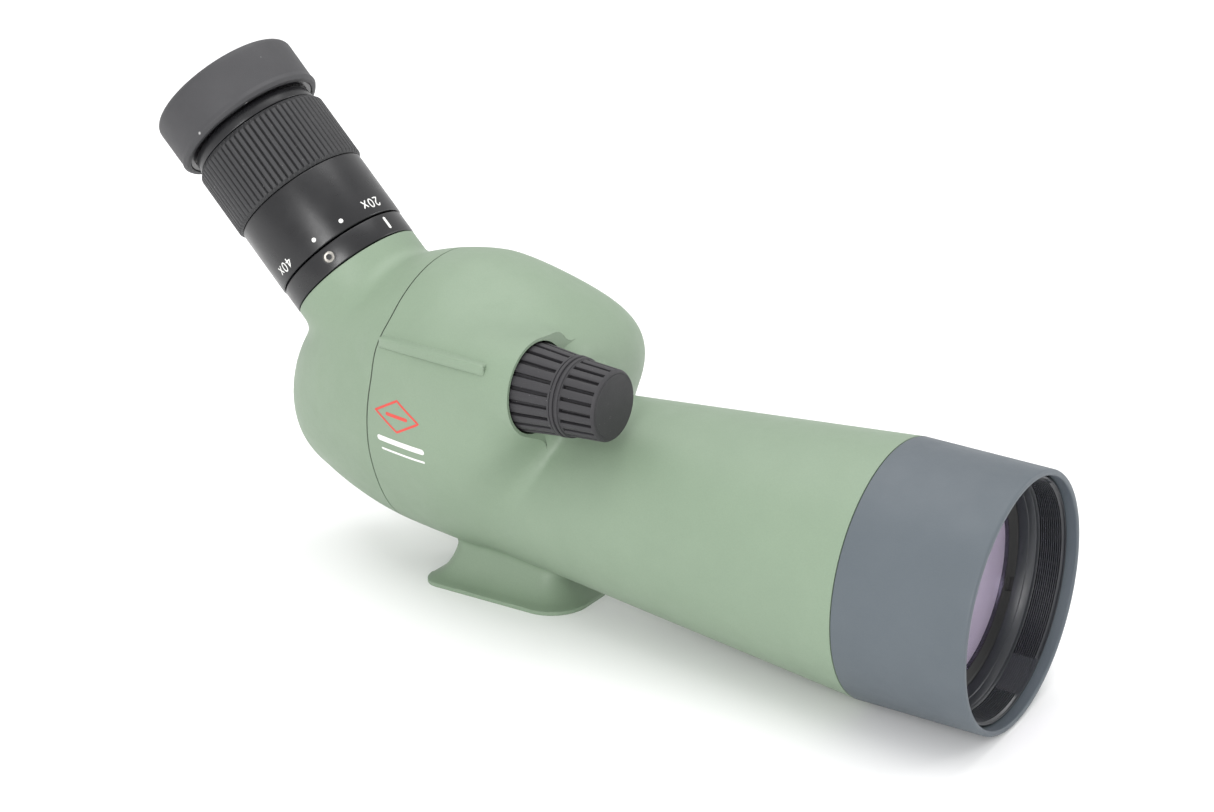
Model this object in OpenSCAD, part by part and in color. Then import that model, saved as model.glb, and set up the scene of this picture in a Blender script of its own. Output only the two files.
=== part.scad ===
// Compact angled spotting scope: 50 mm class objective, 45 degree zoom eyepiece, side focus knob.
// Origin at the mouth of the tripod thread, in the middle of the foot's flat underside.
// +X points to the objective, +Z up, +Y to the observer's left as they look forward.

/* [Body] */
// Height of the optical axis over the foot's underside
axis_z = 31.5; // [30:0.5:34]
// Front end of the painted tube, where the hood starts
tube_front_x = 106; // [100:1:112]
// Outer radius of the tube at its front end
tube_front_r = 31.5; // [31:0.05:31.5]
// Radius lost for each millimetre towards the rear
tube_taper = 0.085; // [0.08:0.005:0.09]
// Joint plane between the front housing and the rear cover
parting_x = -26.5; // [-28:0.5:-25]
// Thickness of the moulded shells
wall = 2.4; // [2:0.1:2.8]

/* [Hood and objective] */
// Length of the rubber hood
hood_len = 32.5; // [30:0.5:34]
// Outer radius of the hood's lip
hood_r = 31; // [30.5:0.1:31.5]
// Inner radius of the hood's lip
hood_inner_r = 29.5; // [29.4:0.1:29.7]
// Clear radius of the objective
aperture_r = 25; // [24:0.5:25]

/* [Eyepiece] */
// Angle between the optical axis and the eyepiece
eye_angle = 45; // [44:1:46]
// Radius of the fixed base ring
base_ring_r = 18.4; // [18.2:0.1:18.6]
// Radius of the zoom ring
zoom_ring_r = 18.65; // [18.5:0.05:18.8]
// Radius over the ribs of the zoom grip
zoom_grip_r = 19.3; // [19.1:0.1:19.5]
// Number of ribs on the zoom grip
zoom_ribs = 72; // [60:4:80]
// Outer radius of the eyecup
eyecup_r = 20.9; // [20.5:0.1:21.2]

/* [Focus knob] */
// Radius of the knob at its base
knob_base_r = 11; // [10.6:0.1:11]
// Radius of the knob at its tip
knob_tip_r = 8.4; // [8.2:0.1:8.8]
// Number of grooves round the knob
knob_grooves = 20; // [16:1:22]

/* [Foot] */
// Length of the foot plate
foot_len = 44.6; // [43:0.2:46]
// Half width of the foot plate at its rear
foot_half_w = 18.5; // [17.5:0.5:19]
// Radius of the quarter inch tripod thread's wall
thread_r = 3.175; // [3.0:0.025:3.3]

/* [Hidden] */
$fn = 96;

paint_green = [0.55, 0.65, 0.55];
rubber_grey = [0.42, 0.45, 0.48];
anodised = [0.08, 0.08, 0.09];
soft_black = [0.16, 0.16, 0.17];
bare_metal = [0.75, 0.75, 0.76];
bare_brass = [0.78, 0.62, 0.32];
seal_black = [0.05, 0.05, 0.05];
optical = [0.75, 0.85, 0.92];
run_gap = 0.05;          // radial clearance of a running fit
seat_gap = 0.1;          // radial clearance of an assembled seat
thin = 0.01;             // overshoot of a cut past a face

// Prism housing: an egg whose sections are ellipses, highest over x = egg_mid_x.
egg_mid_x = -12.7;
egg_wide_x = -5;
egg_front_x = 24;
egg_rear_x = -74;
egg_half_h = 36.8;
egg_half_w = 34;
egg_z_mid = 19.2;        // section centres, above the optical axis
egg_z_front = 30;
egg_z_rear = 6.7;
star_z_max = 15;         // sections are star shaped round this height over the axis, or lower at the rear
blend = 4;               // blend between the tube and the egg
tube_end_len = 34;       // the tube rounds off inside the egg over this length behind the parting plane

// Eyepiece frame: the point where its axis meets the top of the collar.
eye_x = -54.85;
eye_z = axis_z + 42.95;
collar_r = 18.3;
collar_depth = 24;
collar_bore_r = 15.45;
spigot_r = 15.4;

base_ring_top = 6.5;
ring_gap = 0.3;
zoom_ring_top = 25.7;
grip_top = 45.5;
barrel_r = 14.2;
barrel_bore_r = 12.8;
eyecup_bottom = 49.3;
eyecup_top = 63.2;
eye_sleeve_r = 17.8;

// Focus knob: its axis is parallel to the optical axis.
knob_y = -22.8;
knob_z = axis_z + 34.1;
fairing_x = 20.5;        // end plane of the fairing round the knob
fairing_r = 12.2;
pocket_floor_x = 11;
pocket_r = knob_base_r + 0.45;
knob_tip_x = 42.5;
shaft_r = 2;

hood_front_x = tube_front_x + hood_len;
cell_r = 28.2;
cell_rear_x = 94;
seal_x = tube_front_x - 1.8;
shade_step_x = 125.6;    // the grooved light shade starts here
lens_seat_r = 26.2;
lens_fn = 256;           // fineness of the lens faces

function smooth_max(a, b, k) = let (h = max(k - abs(a - b), 0) / k) max(a, b) + h * h * k / 4;
function falling(u, p, e) = pow(max(1 - pow(min(max(u, 0), 1), p), 0), e);
function tube_r(x) = tube_front_r - tube_taper * (tube_front_x - x);
function egg_u(x) = (x - egg_mid_x) / (egg_front_x - egg_mid_x);
function egg_v(x) = (egg_mid_x - x) / (egg_mid_x - egg_rear_x);
function egg_h(x) = egg_half_h * falling(egg_u(x), 1.6, 0.57) * falling(egg_v(x), 1.6, 0.37);
function egg_w(x) = egg_half_w
    * falling((x - egg_wide_x) / (egg_front_x - egg_wide_x), 5.4, 0.6)
    * falling((egg_wide_x - x) / (egg_wide_x - egg_rear_x), 1.5, 0.45);
function egg_z(x) = egg_z_mid
    + (egg_z_front - egg_z_mid) * pow(min(max(egg_u(x), 0), 1), 2)
    + (egg_z_rear - egg_z_mid) * pow(max(egg_v(x), 0), 2);

function star_z(x) = min(star_z_max, egg_z(x));

// Distance from the star centre to a section, in the direction (s, c) = (sideways, up).
function egg_reach(s, c, x, inset) =
    let (w = egg_w(x) - inset, h = egg_h(x) - inset, dz = star_z(x) - egg_z(x))
    w <= 0.5 || h <= 0.5 ? 0 :
    let (a = pow(s / w, 2) + pow(c / h, 2), b = c * dz / (h * h), q = pow(dz / h, 2) - 1,
         d = b * b - a * q)
    (-b + sign(d) * sqrt(abs(d))) / a;
function tube_reach(s, c, x, inset) =
    let (r = tube_r(x) * falling((parting_x - x) / tube_end_len, 2, 0.5) - inset,
         b = c * star_z(x), d = b * b - pow(star_z(x), 2) + r * r)
    r < 1 ? 0 : -b + sign(d) * sqrt(abs(d));
function reach(a, x, inset) =
    max(1, smooth_max(egg_reach(sin(a), cos(a), x, inset), tube_reach(sin(a), cos(a), x, inset), blend));
function section(x, inset, n) = [
    for (i = [0:n - 1]) let (a = 360 * (i + 0.5) / n, r = reach(a, x, inset))
        [x, -r * sin(a), axis_z + star_z(x) + r * cos(a)]
];

// A closed skin over a list of sections with the same number of points, first to last along +X.
module skin(rings) {
    n = len(rings[0]);
    m = len(rings);
    sides = [
        for (j = [0:m - 2], i = [0:n - 1]) let (k = (i + 1) % n)
            each [[j * n + i, (j + 1) * n + i, j * n + k], [j * n + k, (j + 1) * n + i, (j + 1) * n + k]]
    ];
    polyhedron(
        points = [for (r = rings) each r],
        faces = concat([[for (i = [0:n - 1]) i]], sides, [[for (i = [n - 1:-1:0]) (m - 1) * n + i]])
    );
}

module on_axis(x) {
    translate([x, 0, axis_z]) rotate([0, 90, 0]) children();
}
module on_eyepiece(t = 0) {
    translate([eye_x, 0, eye_z]) rotate([0, -eye_angle, 0]) translate([0, 0, t]) children();
}
module on_knob(x) {
    translate([x, knob_y, knob_z]) rotate([0, 90, 0]) children();
}
module ring(r_out, r_in, h) {
    difference() {
        cylinder(r = r_out, h = h);
        translate([0, 0, -thin]) cylinder(r = r_in, h = h + 2 * thin);
    }
}
module o_ring(r_mid, r_cord) {
    rotate_extrude() translate([r_mid, 0]) circle(r = r_cord, $fn = 24);
}
module socket_screw(head_r, head_h, shank_r, length) {
    difference() {
        union() {
            cylinder(r = head_r, h = head_h, $fn = 32);
            translate([0, 0, -length]) cylinder(r = shank_r, h = length + thin, $fn = 32);
        }
        translate([0, 0, head_h / 2]) cylinder(r = head_r / 2, h = head_h, $fn = 6);
    }
}

// ---- Housing shells ----
front_stations = concat(
    [for (x = [parting_x:5.5:11]) x], [12, 15, 17.5, 19.5, 21, 22.2, 23.2, 23.8, 25], [32, 60], [tube_front_x]
);
front_inner_stations = concat(
    [parting_x - 1], [for (x = [parting_x + 6:8:8]) x], [14, 18, 21, 23, 26], [60], [tube_front_x + 1]
);
pole_gap = 0.03;         // the rearmost section stands this far ahead of the egg's rear pole
rear_depth = parting_x - egg_rear_x - pole_gap;
rear_stations = [for (i = [0:14]) parting_x - rear_depth * cos(90 * i / 14)];
rear_inner_stations = concat([for (i = [0:9]) parting_x - (rear_depth - wall) * cos(9 * i)], [parting_x + 1]);
flange = 2.5;            // thickness of the inner flanges that the cover screws clamp
flange_reach = 7;        // how far the flanges stand in from the outer surface

module flange_window(x, length) {
    translate([x, 0, 0]) rotate([90, 0, 90]) linear_extrude(length)
        polygon([for (p = section(parting_x, flange_reach, 40)) [p[1], p[2]]]);
}
module cover_screw_places() {
    for (a = [-35, 35, -105, 105]) {
        r = reach(a, parting_x, 4.6);
        translate([parting_x, -r * sin(a), axis_z + star_z(parting_x) + r * cos(a)])
            rotate([0, 90, 0]) children();
    }
}
module knob_fairing() {
    on_knob(0) rotate_extrude() polygon([
        [0, -22],
        for (i = [0:10]) let (u = i / 10) [4.5 + (fairing_r - 4.5) * sin(90 * u), -22 + (22 + fairing_x) * u],
        [0, fairing_x]
    ]);
}

// The foot: a rounded plate that sweeps up into the body in a hollow curve.
foot_plate_h = 1.2;
foot_top = 22;
module foot_skin() {
    levels = concat([[0, 0.4], [0.4, 0], [foot_plate_h, 0]],
        [for (i = [1:6]) let (a = 15 * i) [foot_plate_h + 12 * (1 - cos(a)), 9 * sin(a)]], [[foot_top, 9]]);
    rings = [for (l = levels) [for (p = foot_outline(l[1])) [p[0], p[1], l[0]]]];
    skin(rings);
}
// Four rounded corners, rear pair tight and front pair wide; inset moves the outline inwards.
function foot_outline(inset) =
    let (xr = -foot_len / 2 + 0.55 * inset, xf = foot_len / 2 - inset, wr = foot_half_w - inset,
         wf = foot_half_w - 2.5 - inset, rr = 5 - 0.2 * inset, rf = 10 - 0.6 * inset)
    concat(
        corner(xf - rf, -wf + rf, rf, -90), corner(xf - rf, wf - rf, rf, 0),
        corner(xr + rr, wr - rr, rr, 90), corner(xr + rr, -wr + rr, rr, 180)
    );
function corner(x, y, r, start) = [for (i = [0:6]) let (a = start + 15 * i) [x + r * cos(a), y + r * sin(a)]];

module aiming_rib() {
    rib_r = 1.6;
    rib_path = [[parting_x + 1.9, -27, axis_z + 38.9], [-7.5, -30.6, axis_z + 39.6], [10.5, -32.4, axis_z + 40.2]];
    for (i = [0:1]) hull() {
        translate(rib_path[i]) sphere(r = rib_r, $fn = 24);
        translate(rib_path[i + 1]) sphere(r = rib_r, $fn = 24);
    }
}

module front_housing() {
    color(paint_green) difference() {
        union() {
            skin([for (x = front_stations) section(x, 0, 56)]);
            knob_fairing();
            foot_skin();
            aiming_rib();
        }
        difference() {
            skin([for (x = front_inner_stations) section(x, wall, 28)]);
            on_knob(pocket_floor_x - wall) cylinder(r = pocket_r + wall, h = 42);
            cylinder(r = 9, h = 16);
            difference() {
                translate([parting_x - 2, -50, -10]) cube([2 + flange, 100, 120]);
                flange_window(parting_x - 3, 12);
            }
        }
        translate([0, 0, -thin]) cylinder(r = 6.05, h = 11.6);
        on_knob(pocket_floor_x) cylinder(r = pocket_r, h = 30);
        on_knob(0) cylinder(r = 3.6, h = 40);
        on_knob(-9) cylinder(r = 5.2, h = pocket_floor_x - wall + 9);
        on_knob(-16) cylinder(r = 4.8, h = 10);
        on_knob(fairing_x) cylinder(r = pocket_r + 1.2, h = 28);
        on_axis(cell_rear_x - 2) cylinder(r = cell_r + seat_gap, h = 30);
        on_axis(seal_x - 0.75) cylinder(r = cell_r + 1.45, h = 1.5);
        translate([-thin, 0, 0]) cover_screw_places() cylinder(r = 1.1, h = 8, $fn = 24);
        translate([-flange, 0, 0]) bracket_screw_places() cylinder(r = 1.1, h = 6, $fn = 24);
    }
}
module rear_cover() {
    color(paint_green) difference() {
        union() {
            skin([for (x = rear_stations) section(x, 0, 56)]);
            on_eyepiece(-collar_depth) rotate_extrude() polygon([
                [0, 0],
                for (i = [0:6]) [collar_r + 5 * (1 - sin(15 * i)), 4 + 13 * i / 6],
                [collar_r, collar_depth], [0, collar_depth]
            ]);
        }
        difference() {
            skin([for (x = rear_inner_stations) section(x, wall, 28)]);
            on_eyepiece(-collar_depth + 2) cylinder(r = spigot_r + 2.2, h = 40);
            difference() {
                translate([parting_x - flange, -50, -10]) cube([4, 100, 120]);
                flange_window(parting_x - 4, 12);
            }
        }
        on_eyepiece(-collar_depth - 12) cylinder(r = collar_bore_r, h = 60);
        translate([-8, 0, 0]) cover_screw_places() cylinder(r = 1.3, h = 12, $fn = 24);
        translate([-flange - 4, 0, 0]) cover_screw_places() cylinder(r = 2.2, h = 4, $fn = 32);
        translate([parting_x - 1, 0, 0]) rotate([90, 0, 90]) linear_extrude(2) joint_outline(1.3, 2.5);
        translate([parting_x, -60, -10]) cube([60, 120, 140]);
    }
}
module joint_outline(outer, inner) {
    difference() {
        polygon([for (p = section(parting_x, outer, 40)) [p[1], p[2]]]);
        polygon([for (p = section(parting_x, inner, 40)) [p[1], p[2]]]);
    }
}
module cover_seal() {
    color(seal_black) translate([parting_x - 0.95, 0, 0]) rotate([90, 0, 90]) linear_extrude(0.9)
        joint_outline(1.4, 2.4);
}
module cover_screws() {
    color(bare_metal) translate([-flange, 0, 0]) cover_screw_places()
        mirror([0, 0, 1]) socket_screw(2, 1.6, 1, 4.8);
}
module tripod_bush() {
    color(bare_metal) difference() {
        cylinder(r = 6, h = 11);
        translate([0, 0, -thin]) cylinder(r = thread_r, h = 9.5);
    }
}

// ---- Objective end ----
module hood() {
    lip = 0.7;
    inner_lip = 0.5;
    color(rubber_grey) on_axis(0) rotate_extrude() polygon([
        [hood_inner_r - 0.2, tube_front_x + 0.1],
        [tube_front_r, tube_front_x + 0.1],
        for (i = [0:8]) let (a = 90 * i / 8)
            [hood_r - lip + lip * cos(a), hood_front_x - lip + lip * sin(a)],
        for (i = [0:4]) let (a = 90 * i / 4)
            [hood_inner_r + inner_lip * (1 - sin(a)), hood_front_x - inner_lip * (1 - cos(a))],
        [hood_inner_r, hood_front_x - 2.4],
        [hood_inner_r - 0.2, hood_front_x - 2.5]
    ]);
}
module objective_cell() {
    front = hood_front_x - 2.6;
    shade_r = 28.2;
    flare_r = 29.2;
    grooves = 9;
    pitch = (front - 1 - shade_step_x) / grooves;
    color(anodised) on_axis(0) difference() {
        rotate_extrude() polygon([
            [aperture_r - 1, cell_rear_x],
            [cell_r, cell_rear_x],
            [cell_r, tube_front_x + 0.4],
            [flare_r, tube_front_x + 1.4],
            [flare_r, front],
            for (i = [grooves - 1:-1:0]) each [
                [shade_r, shade_step_x + (i + 0.9) * pitch],
                [shade_r + 0.5, shade_step_x + (i + 0.75) * pitch],
                [shade_r + 0.5, shade_step_x + (i + 0.35) * pitch],
                [shade_r, shade_step_x + (i + 0.2) * pitch]
            ],
            [shade_r, shade_step_x],
            [lens_seat_r, shade_step_x],
            [lens_seat_r, 101],
            [aperture_r - 1, 101]
        ]);
        translate([0, 0, cell_rear_x - 1]) cylinder(r = aperture_r - 1, h = 4);
    }
}
// A lens between two spherical faces; sagitta of a face of radius R at the rim is lens_sag.
function lens_sag(R, r) = R - sqrt(R * R - r * r);
module convex_lens(r, R1, R2, edge) {
    color(optical) intersection() {
        translate([0, 0, -10]) cylinder(r = r, h = 40);
        translate([0, 0, edge + lens_sag(R1, r) - R1]) sphere(r = R1, $fn = lens_fn);
        translate([0, 0, R2 - lens_sag(R2, r)]) sphere(r = R2, $fn = lens_fn);
    }
}
module hollow_lens(r, R1, R2, edge) {
    color(optical) difference() {
        cylinder(r = r, h = edge);
        translate([0, 0, edge + sqrt(R1 * R1 - r * r)]) sphere(r = R1, $fn = lens_fn);
        translate([0, 0, -sqrt(R2 * R2 - r * r)]) sphere(r = R2, $fn = lens_fn);
    }
}
module front_objective_lens() {
    on_axis(114.2) convex_lens(lens_seat_r - seat_gap, 110, 120, 4.2);
}
module rear_objective_lens() {
    on_axis(101.05) hollow_lens(lens_seat_r - seat_gap, 116, 300, 8.4);
}
module lens_spacer() {
    color(anodised) on_axis(109.5) ring(lens_seat_r - seat_gap, aperture_r + 0.1, 4.35);
}
module objective_retaining_ring() {
    color(anodised) on_axis(118.8) difference() {
        ring(lens_seat_r - seat_gap, aperture_r, 6.4);
        for (a = [25, 205]) rotate(a) translate([aperture_r - 1, -1.6, 5]) cube([3, 3.2, 3]);
    }
}
module objective_seal() {
    color(seal_black) on_axis(seal_x) o_ring(cell_r + 0.75, 0.6);
}
module light_baffles() {
    color(anodised) for (x = [32, 56, 78]) on_axis(x) difference() {
        cylinder(r = tube_r(x) - wall - 0.5, h = 1);
        translate([0, 0, -thin]) cylinder(r1 = 12 + x * 0.11, r2 = 12.6 + x * 0.11, h = 1 + 2 * thin);
    }
}

// ---- Prisms and focusing ----
bracket_x = -23.9;
bracket_t = 3;
rod_r = 1.5;
rod_half_y = 17;         // the guide rods lie on both sides of the carriage
rod_up = 6;              // and this far above the optical axis
rod_front_x = 12;
carriage_x = -12;
carriage_len = 12;
raised_path = 20;        // the erecting prism lifts the light path this far
path_hole_r = 11.5;
module rod_positions(x) {
    for (y = [-rod_half_y, rod_half_y]) translate([x, y, axis_z + rod_up]) rotate([0, 90, 0]) children();
}
// Plate clamped against the housing's inner flange by its own four screws.
module prism_bracket() {
    color(anodised) difference() {
        translate([bracket_x, 0, 0]) rotate([90, 0, 90]) linear_extrude(bracket_t)
            polygon([for (p = section(parting_x, 3.6, 40)) [p[1], p[2]]]);
        translate([bracket_x - 1, 0, axis_z + raised_path]) rotate([0, 90, 0]) cylinder(r = path_hole_r, h = 5);
        rod_positions(bracket_x - 1) cylinder(r = rod_r, h = 5);
        on_knob(bracket_x - 1) cylinder(r = shaft_r + run_gap, h = 5);
        bracket_screw_places() translate([0, 0, -1]) cylinder(r = 1.1, h = 6, $fn = 24);
    }
}
module bracket_screw_places() {
    for (a = [-70, 70, -145, 145]) {
        r = reach(a, parting_x, 5.2);
        translate([bracket_x, -r * sin(a), axis_z + star_z(parting_x) + r * cos(a)]) rotate([0, 90, 0]) children();
    }
}
module bracket_screws() {
    color(bare_metal) translate([bracket_t, 0, 0]) bracket_screw_places() socket_screw(1.8, 1.4, 1, 5.2);
}
module guide_rods() {
    color(bare_metal) rod_positions(bracket_x) cylinder(r = rod_r, h = rod_front_x - bracket_x);
}
// Right-angle prism block that folds the raised path into the eyepiece.
module deflection_prism() {
    s = 10.5;
    color(optical) translate([bracket_x - 0.2, s, axis_z + raised_path - s]) rotate([90, 0, 0])
        linear_extrude(2 * s) polygon([[0, 0], [0, 2 * s], [-5, 2 * s + 4], [-17, 12], [-8, 0]]);
}
module knob_bush() {
    color(bare_brass) on_knob(pocket_floor_x - wall - 3) difference() {
        union() {
            cylinder(r = 3.55, h = 3 + wall);
            cylinder(r = 5, h = 2.9);
        }
        translate([0, 0, -thin]) cylinder(r = shaft_r + run_gap, h = 8);
    }
}
module focus_shaft() {
    color(bare_metal) on_knob(bracket_x + 0.2) cylinder(r = shaft_r, h = 36 - bracket_x);
}
module knob_core() {
    color(anodised) on_knob(pocket_floor_x + 0.8) difference() {
        union() {
            cylinder(r = 8.6, h = 20);
            cylinder(r = 6.4, h = 28.4);
        }
        translate([0, 0, -thin]) cylinder(r = shaft_r, h = 24.5);
    }
}
// Grip: two tapered bands, each cut by grooves along the axis, with a double band between them.
module knob_grip() {
    band_x = 31;
    color(soft_black) difference() {
        on_knob(0) rotate_extrude() polygon([
            [8.65, pocket_floor_x + 0.8],
            [knob_base_r - 0.4, pocket_floor_x + 0.8],
            [knob_base_r, pocket_floor_x + 1.4],
            [knob_base_r - 0.1, fairing_x + 1.5],
            [9.75, band_x - 0.6], [9.35, band_x - 0.45], [9.35, band_x], [9.75, band_x + 0.15],
            [9.6, band_x + 1.2], [9.2, band_x + 1.35], [9.2, band_x + 1.8], [9.5, band_x + 1.95],
            [knob_tip_r + 0.15, knob_tip_x - 1.4],
            [knob_tip_r - 0.2, knob_tip_x - 0.9],
            [6.45, knob_tip_x - 0.9],
            [6.45, band_x + 1], [8.65, band_x + 1]
        ]);
        for (i = [0:knob_grooves - 1]) rotate_on_knob(360 * i / knob_grooves) {
            knob_groove(fairing_x - 1, 10.35, band_x - 1.6, 9.15);
            knob_groove(band_x + 3, 8.75, knob_tip_x - 2.6, 7.9);
        }
    }
}
module rotate_on_knob(a) {
    translate([0, knob_y, knob_z]) rotate([a, 0, 0]) children();
}
// One groove from (x1, r1) to (x2, r2): a slanted bar whose underside is the groove's floor.
module knob_groove(x1, r1, x2, r2) {
    slope = atan((r1 - r2) / (x2 - x1));
    translate([x1, -0.45, r1]) rotate([0, slope, 0]) cube([(x2 - x1) / cos(slope), 0.9, 3]);
}
module knob_cap() {
    color(soft_black) on_knob(knob_tip_x - 0.85) cylinder(r1 = knob_tip_r - 0.25, r2 = knob_tip_r - 0.85, h = 0.85);
}
module shaft_clip() {
    color(bare_metal) on_knob(pocket_floor_x - wall - 3.9) ring(3.4, shaft_r + 0.02, 0.7);
}
// Frame that slides on the rods; its arm holds the nut on the focus shaft.
module prism_carriage() {
    color(anodised) difference() {
        union() {
            translate([carriage_x, -13.8, axis_z - 11]) cube([carriage_len, 27.6, 46]);
            rod_positions(carriage_x) cylinder(r = 3.4, h = carriage_len);
            translate([carriage_x, -rod_half_y, axis_z + rod_up - 2]) cube([carriage_len, 2 * rod_half_y, 4]);
            translate([carriage_x + 3, -24, axis_z + 27.5]) cube([5, 12, 7.5]);
            on_knob(carriage_x + 3) cylinder(r = 4.4, h = 5);
        }
        translate([carriage_x - 1, -11.8, axis_z - 9]) cube([carriage_len, 23.6, 42]);
        translate([carriage_x - 1, 0, axis_z]) rotate([0, 90, 0]) cylinder(r = 10, h = carriage_len + 4);
        rod_positions(carriage_x - 1) cylinder(r = rod_r + run_gap, h = carriage_len + 2);
        on_knob(carriage_x - 1) cylinder(r = 3.2, h = carriage_len + 2);
    }
}
erecting_h = 41.6;
erecting_half_w = 11.7;
// Roof prism: the light comes in low, is folded up along the block and leaves high.
module erecting_prism() {
    color(optical) translate([carriage_x + 0.4, erecting_half_w, axis_z - 8.8]) rotate([90, 0, 0])
        linear_extrude(2 * erecting_half_w)
            polygon([[10.5, 0], [10.5, erecting_h - 8], [6, erecting_h], [0, erecting_h], [0, 8], [4.5, 0]]);
}
// Spring plate over the prism, between its two windows.
module prism_clip() {
    color(bare_metal) difference() {
        translate([carriage_x - 0.8, -13.5, axis_z + 3]) cube([0.8, 27, 5]);
        translate([carriage_x - 1, -11, axis_z + 4.5]) cube([2, 22, 2]);
    }
}
module focus_nut() {
    color(bare_brass) on_knob(carriage_x + 2) difference() {
        union() {
            cylinder(r = 3.15, h = 7);
            cylinder(r = 4.4, h = 0.95);
        }
        translate([0, 0, -thin]) cylinder(r = shaft_r + run_gap, h = 8);
    }
}

// ---- Eyepiece: everything here is placed along the eyepiece axis ----
module eyepiece_base_ring() {
    color(anodised) on_eyepiece() difference() {
        union() {
            rotate_extrude() polygon([
                [0, 0.35], [base_ring_r - 0.5, 0.35], [base_ring_r, 0.7],
                [base_ring_r, base_ring_top - 0.3], [base_ring_r - 0.4, base_ring_top], [0, base_ring_top]
            ]);
            translate([0, 0, -14]) cylinder(r = spigot_r, h = 15);
        }
        translate([0, 0, -15]) cylinder(r = barrel_r, h = 30);
        rotate(-58) translate([base_ring_r + 1, 0, 3.6]) rotate([0, -90, 0]) cylinder(r = 1.25, h = 6);
    }
}
module base_set_screw() {
    color(bare_metal) on_eyepiece(3.6) rotate(-58) translate([base_ring_r - 0.35, 0, 0]) rotate([0, -90, 0])
        difference() {
            cylinder(r = 1.2, h = 3.2, $fn = 32);
            translate([0, 0, -1]) cylinder(r = 0.6, h = 2.2, $fn = 6);
        }
}
module eyepiece_seal() {
    color(seal_black) on_eyepiece() ring(base_ring_r - 1.2, spigot_r + 0.1, 0.3);
}
module inner_barrel() {
    color(anodised) on_eyepiece() difference() {
        translate([0, 0, -13.5]) cylinder(r = barrel_r, h = 61);
        translate([0, 0, -14]) cylinder(r = barrel_bore_r, h = 63);
        for (a = [0, 120, 240]) rotate(a) translate([0, -1, -8]) cube([30, 2, 46]);
    }
}
module field_stop() {
    color(anodised) on_eyepiece(-13) ring(barrel_bore_r - seat_gap, 10, 2);
}
// Black neck over the zoom grip; the eyecup rides on it.
module eye_sleeve() {
    color(anodised) on_eyepiece() difference() {
        rotate_extrude() polygon([
            [barrel_r + 0.1, grip_top + 0.3], [eye_sleeve_r, grip_top + 0.3], [eye_sleeve_r, 49],
            [16.6, 49], [16.6, 58], [barrel_bore_r - 0.8, 58], [barrel_bore_r - 0.8, 47.6], [barrel_r + 0.1, 47.6]
        ]);
        translate([0, 0, 52]) cylinder(r = 13.4, h = 10);
    }
}
module eye_lens() {
    on_eyepiece(52.35) convex_lens(13.3, 40, 70, 1.2);
}
module eye_lens_ring() {
    color(anodised) on_eyepiece(55.6) rotate_extrude() polygon([
        [11.2, 0], [13.3, 0], [13.3, 2.2], [12.6, 2.2]
    ]);
}
module zoom_ring() {
    bottom = base_ring_top + ring_gap;
    color(anodised) on_eyepiece() rotate_extrude() polygon([
        [15.6, bottom], [zoom_ring_r - 0.4, bottom], [zoom_ring_r, bottom + 0.3],
        [zoom_ring_r, zoom_ring_top - 0.4], [zoom_ring_r - 0.4, zoom_ring_top],
        [17.2, zoom_ring_top], [17.2, grip_top - 0.6], [15.6, grip_top - 0.6]
    ]);
}
module zoom_grip() {
    bottom = zoom_ring_top + 0.1;
    rib_floor = zoom_grip_r - 0.55;
    rib_w = 2 * PI * zoom_grip_r / zoom_ribs * 0.42;
    color(soft_black) on_eyepiece() difference() {
        rotate_extrude() polygon([
            [17.25, bottom], [zoom_grip_r - 0.7, bottom], [zoom_grip_r, bottom + 0.9],
            [zoom_grip_r, grip_top - 1.6], [eye_sleeve_r, grip_top], [17.25, grip_top]
        ]);
        for (i = [0:zoom_ribs - 1]) rotate(360 * i / zoom_ribs)
            translate([rib_floor, -rib_w / 2, bottom - 1]) cube([2, rib_w, grip_top - bottom + 2]);
    }
}
module cam_sleeve() {
    color(bare_brass) on_eyepiece(base_ring_top + 0.6) ring(15.5, barrel_r + run_gap, 37);
}
module zoom_cell(t, h) {
    color(anodised) on_eyepiece(t) difference() {
        union() {
            cylinder(r = barrel_bore_r - run_gap, h = h);
            for (a = [0, 120, 240]) rotate(a) translate([0, 0, h / 2]) rotate([0, 90, 0])
                cylinder(r = 0.9, h = barrel_r - 0.1, $fn = 24);
        }
        translate([0, 0, -thin]) cylinder(r = 10, h = h + 1);
        translate([0, 0, 1.5]) cylinder(r = 11, h = h);
    }
}
module front_zoom_cell() {
    zoom_cell(1, 8);
}
module front_zoom_lens() {
    on_eyepiece(2.55) hollow_lens(10.9, 45, 60, 4.6);
}
module rear_zoom_cell() {
    zoom_cell(26, 9);
}
module rear_zoom_lens() {
    on_eyepiece(27.85) convex_lens(10.9, 36, 48, 1.8);
}
module eyecup_guide_ring() {
    color(anodised) on_eyepiece(50) ring(17.7, 16.6 + run_gap, 2.2);
}
module eyecup_core() {
    color(anodised) on_eyepiece() rotate_extrude() polygon([
        [17.8, eyecup_bottom], [19, eyecup_bottom], [19, 61], [16.75, 61], [16.75, 52.7], [17.8, 52.7]
    ]);
}
// Thick soft cup: rounded rim, straight wall and a bevelled lower lip.
module eyecup_rubber() {
    color(soft_black) on_eyepiece() rotate_extrude() polygon([
        [19.05, eyecup_bottom - 0.3], [19.6, eyecup_bottom - 0.3], [eyecup_r, eyecup_bottom + 1.2],
        [eyecup_r - 0.1, eyecup_top - 3],
        for (i = [0:6]) let (a = 15 * i) [eyecup_r - 2.3 + 2 * cos(a), eyecup_top - 2 + 2 * sin(a)],
        for (i = [0:6]) let (a = 90 + 15 * i) [17.6 + 1 * cos(a), eyecup_top - 1 + 1 * sin(a)],
        [16.6, 61.1], [19.05, 61.1]
    ]);
}

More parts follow.
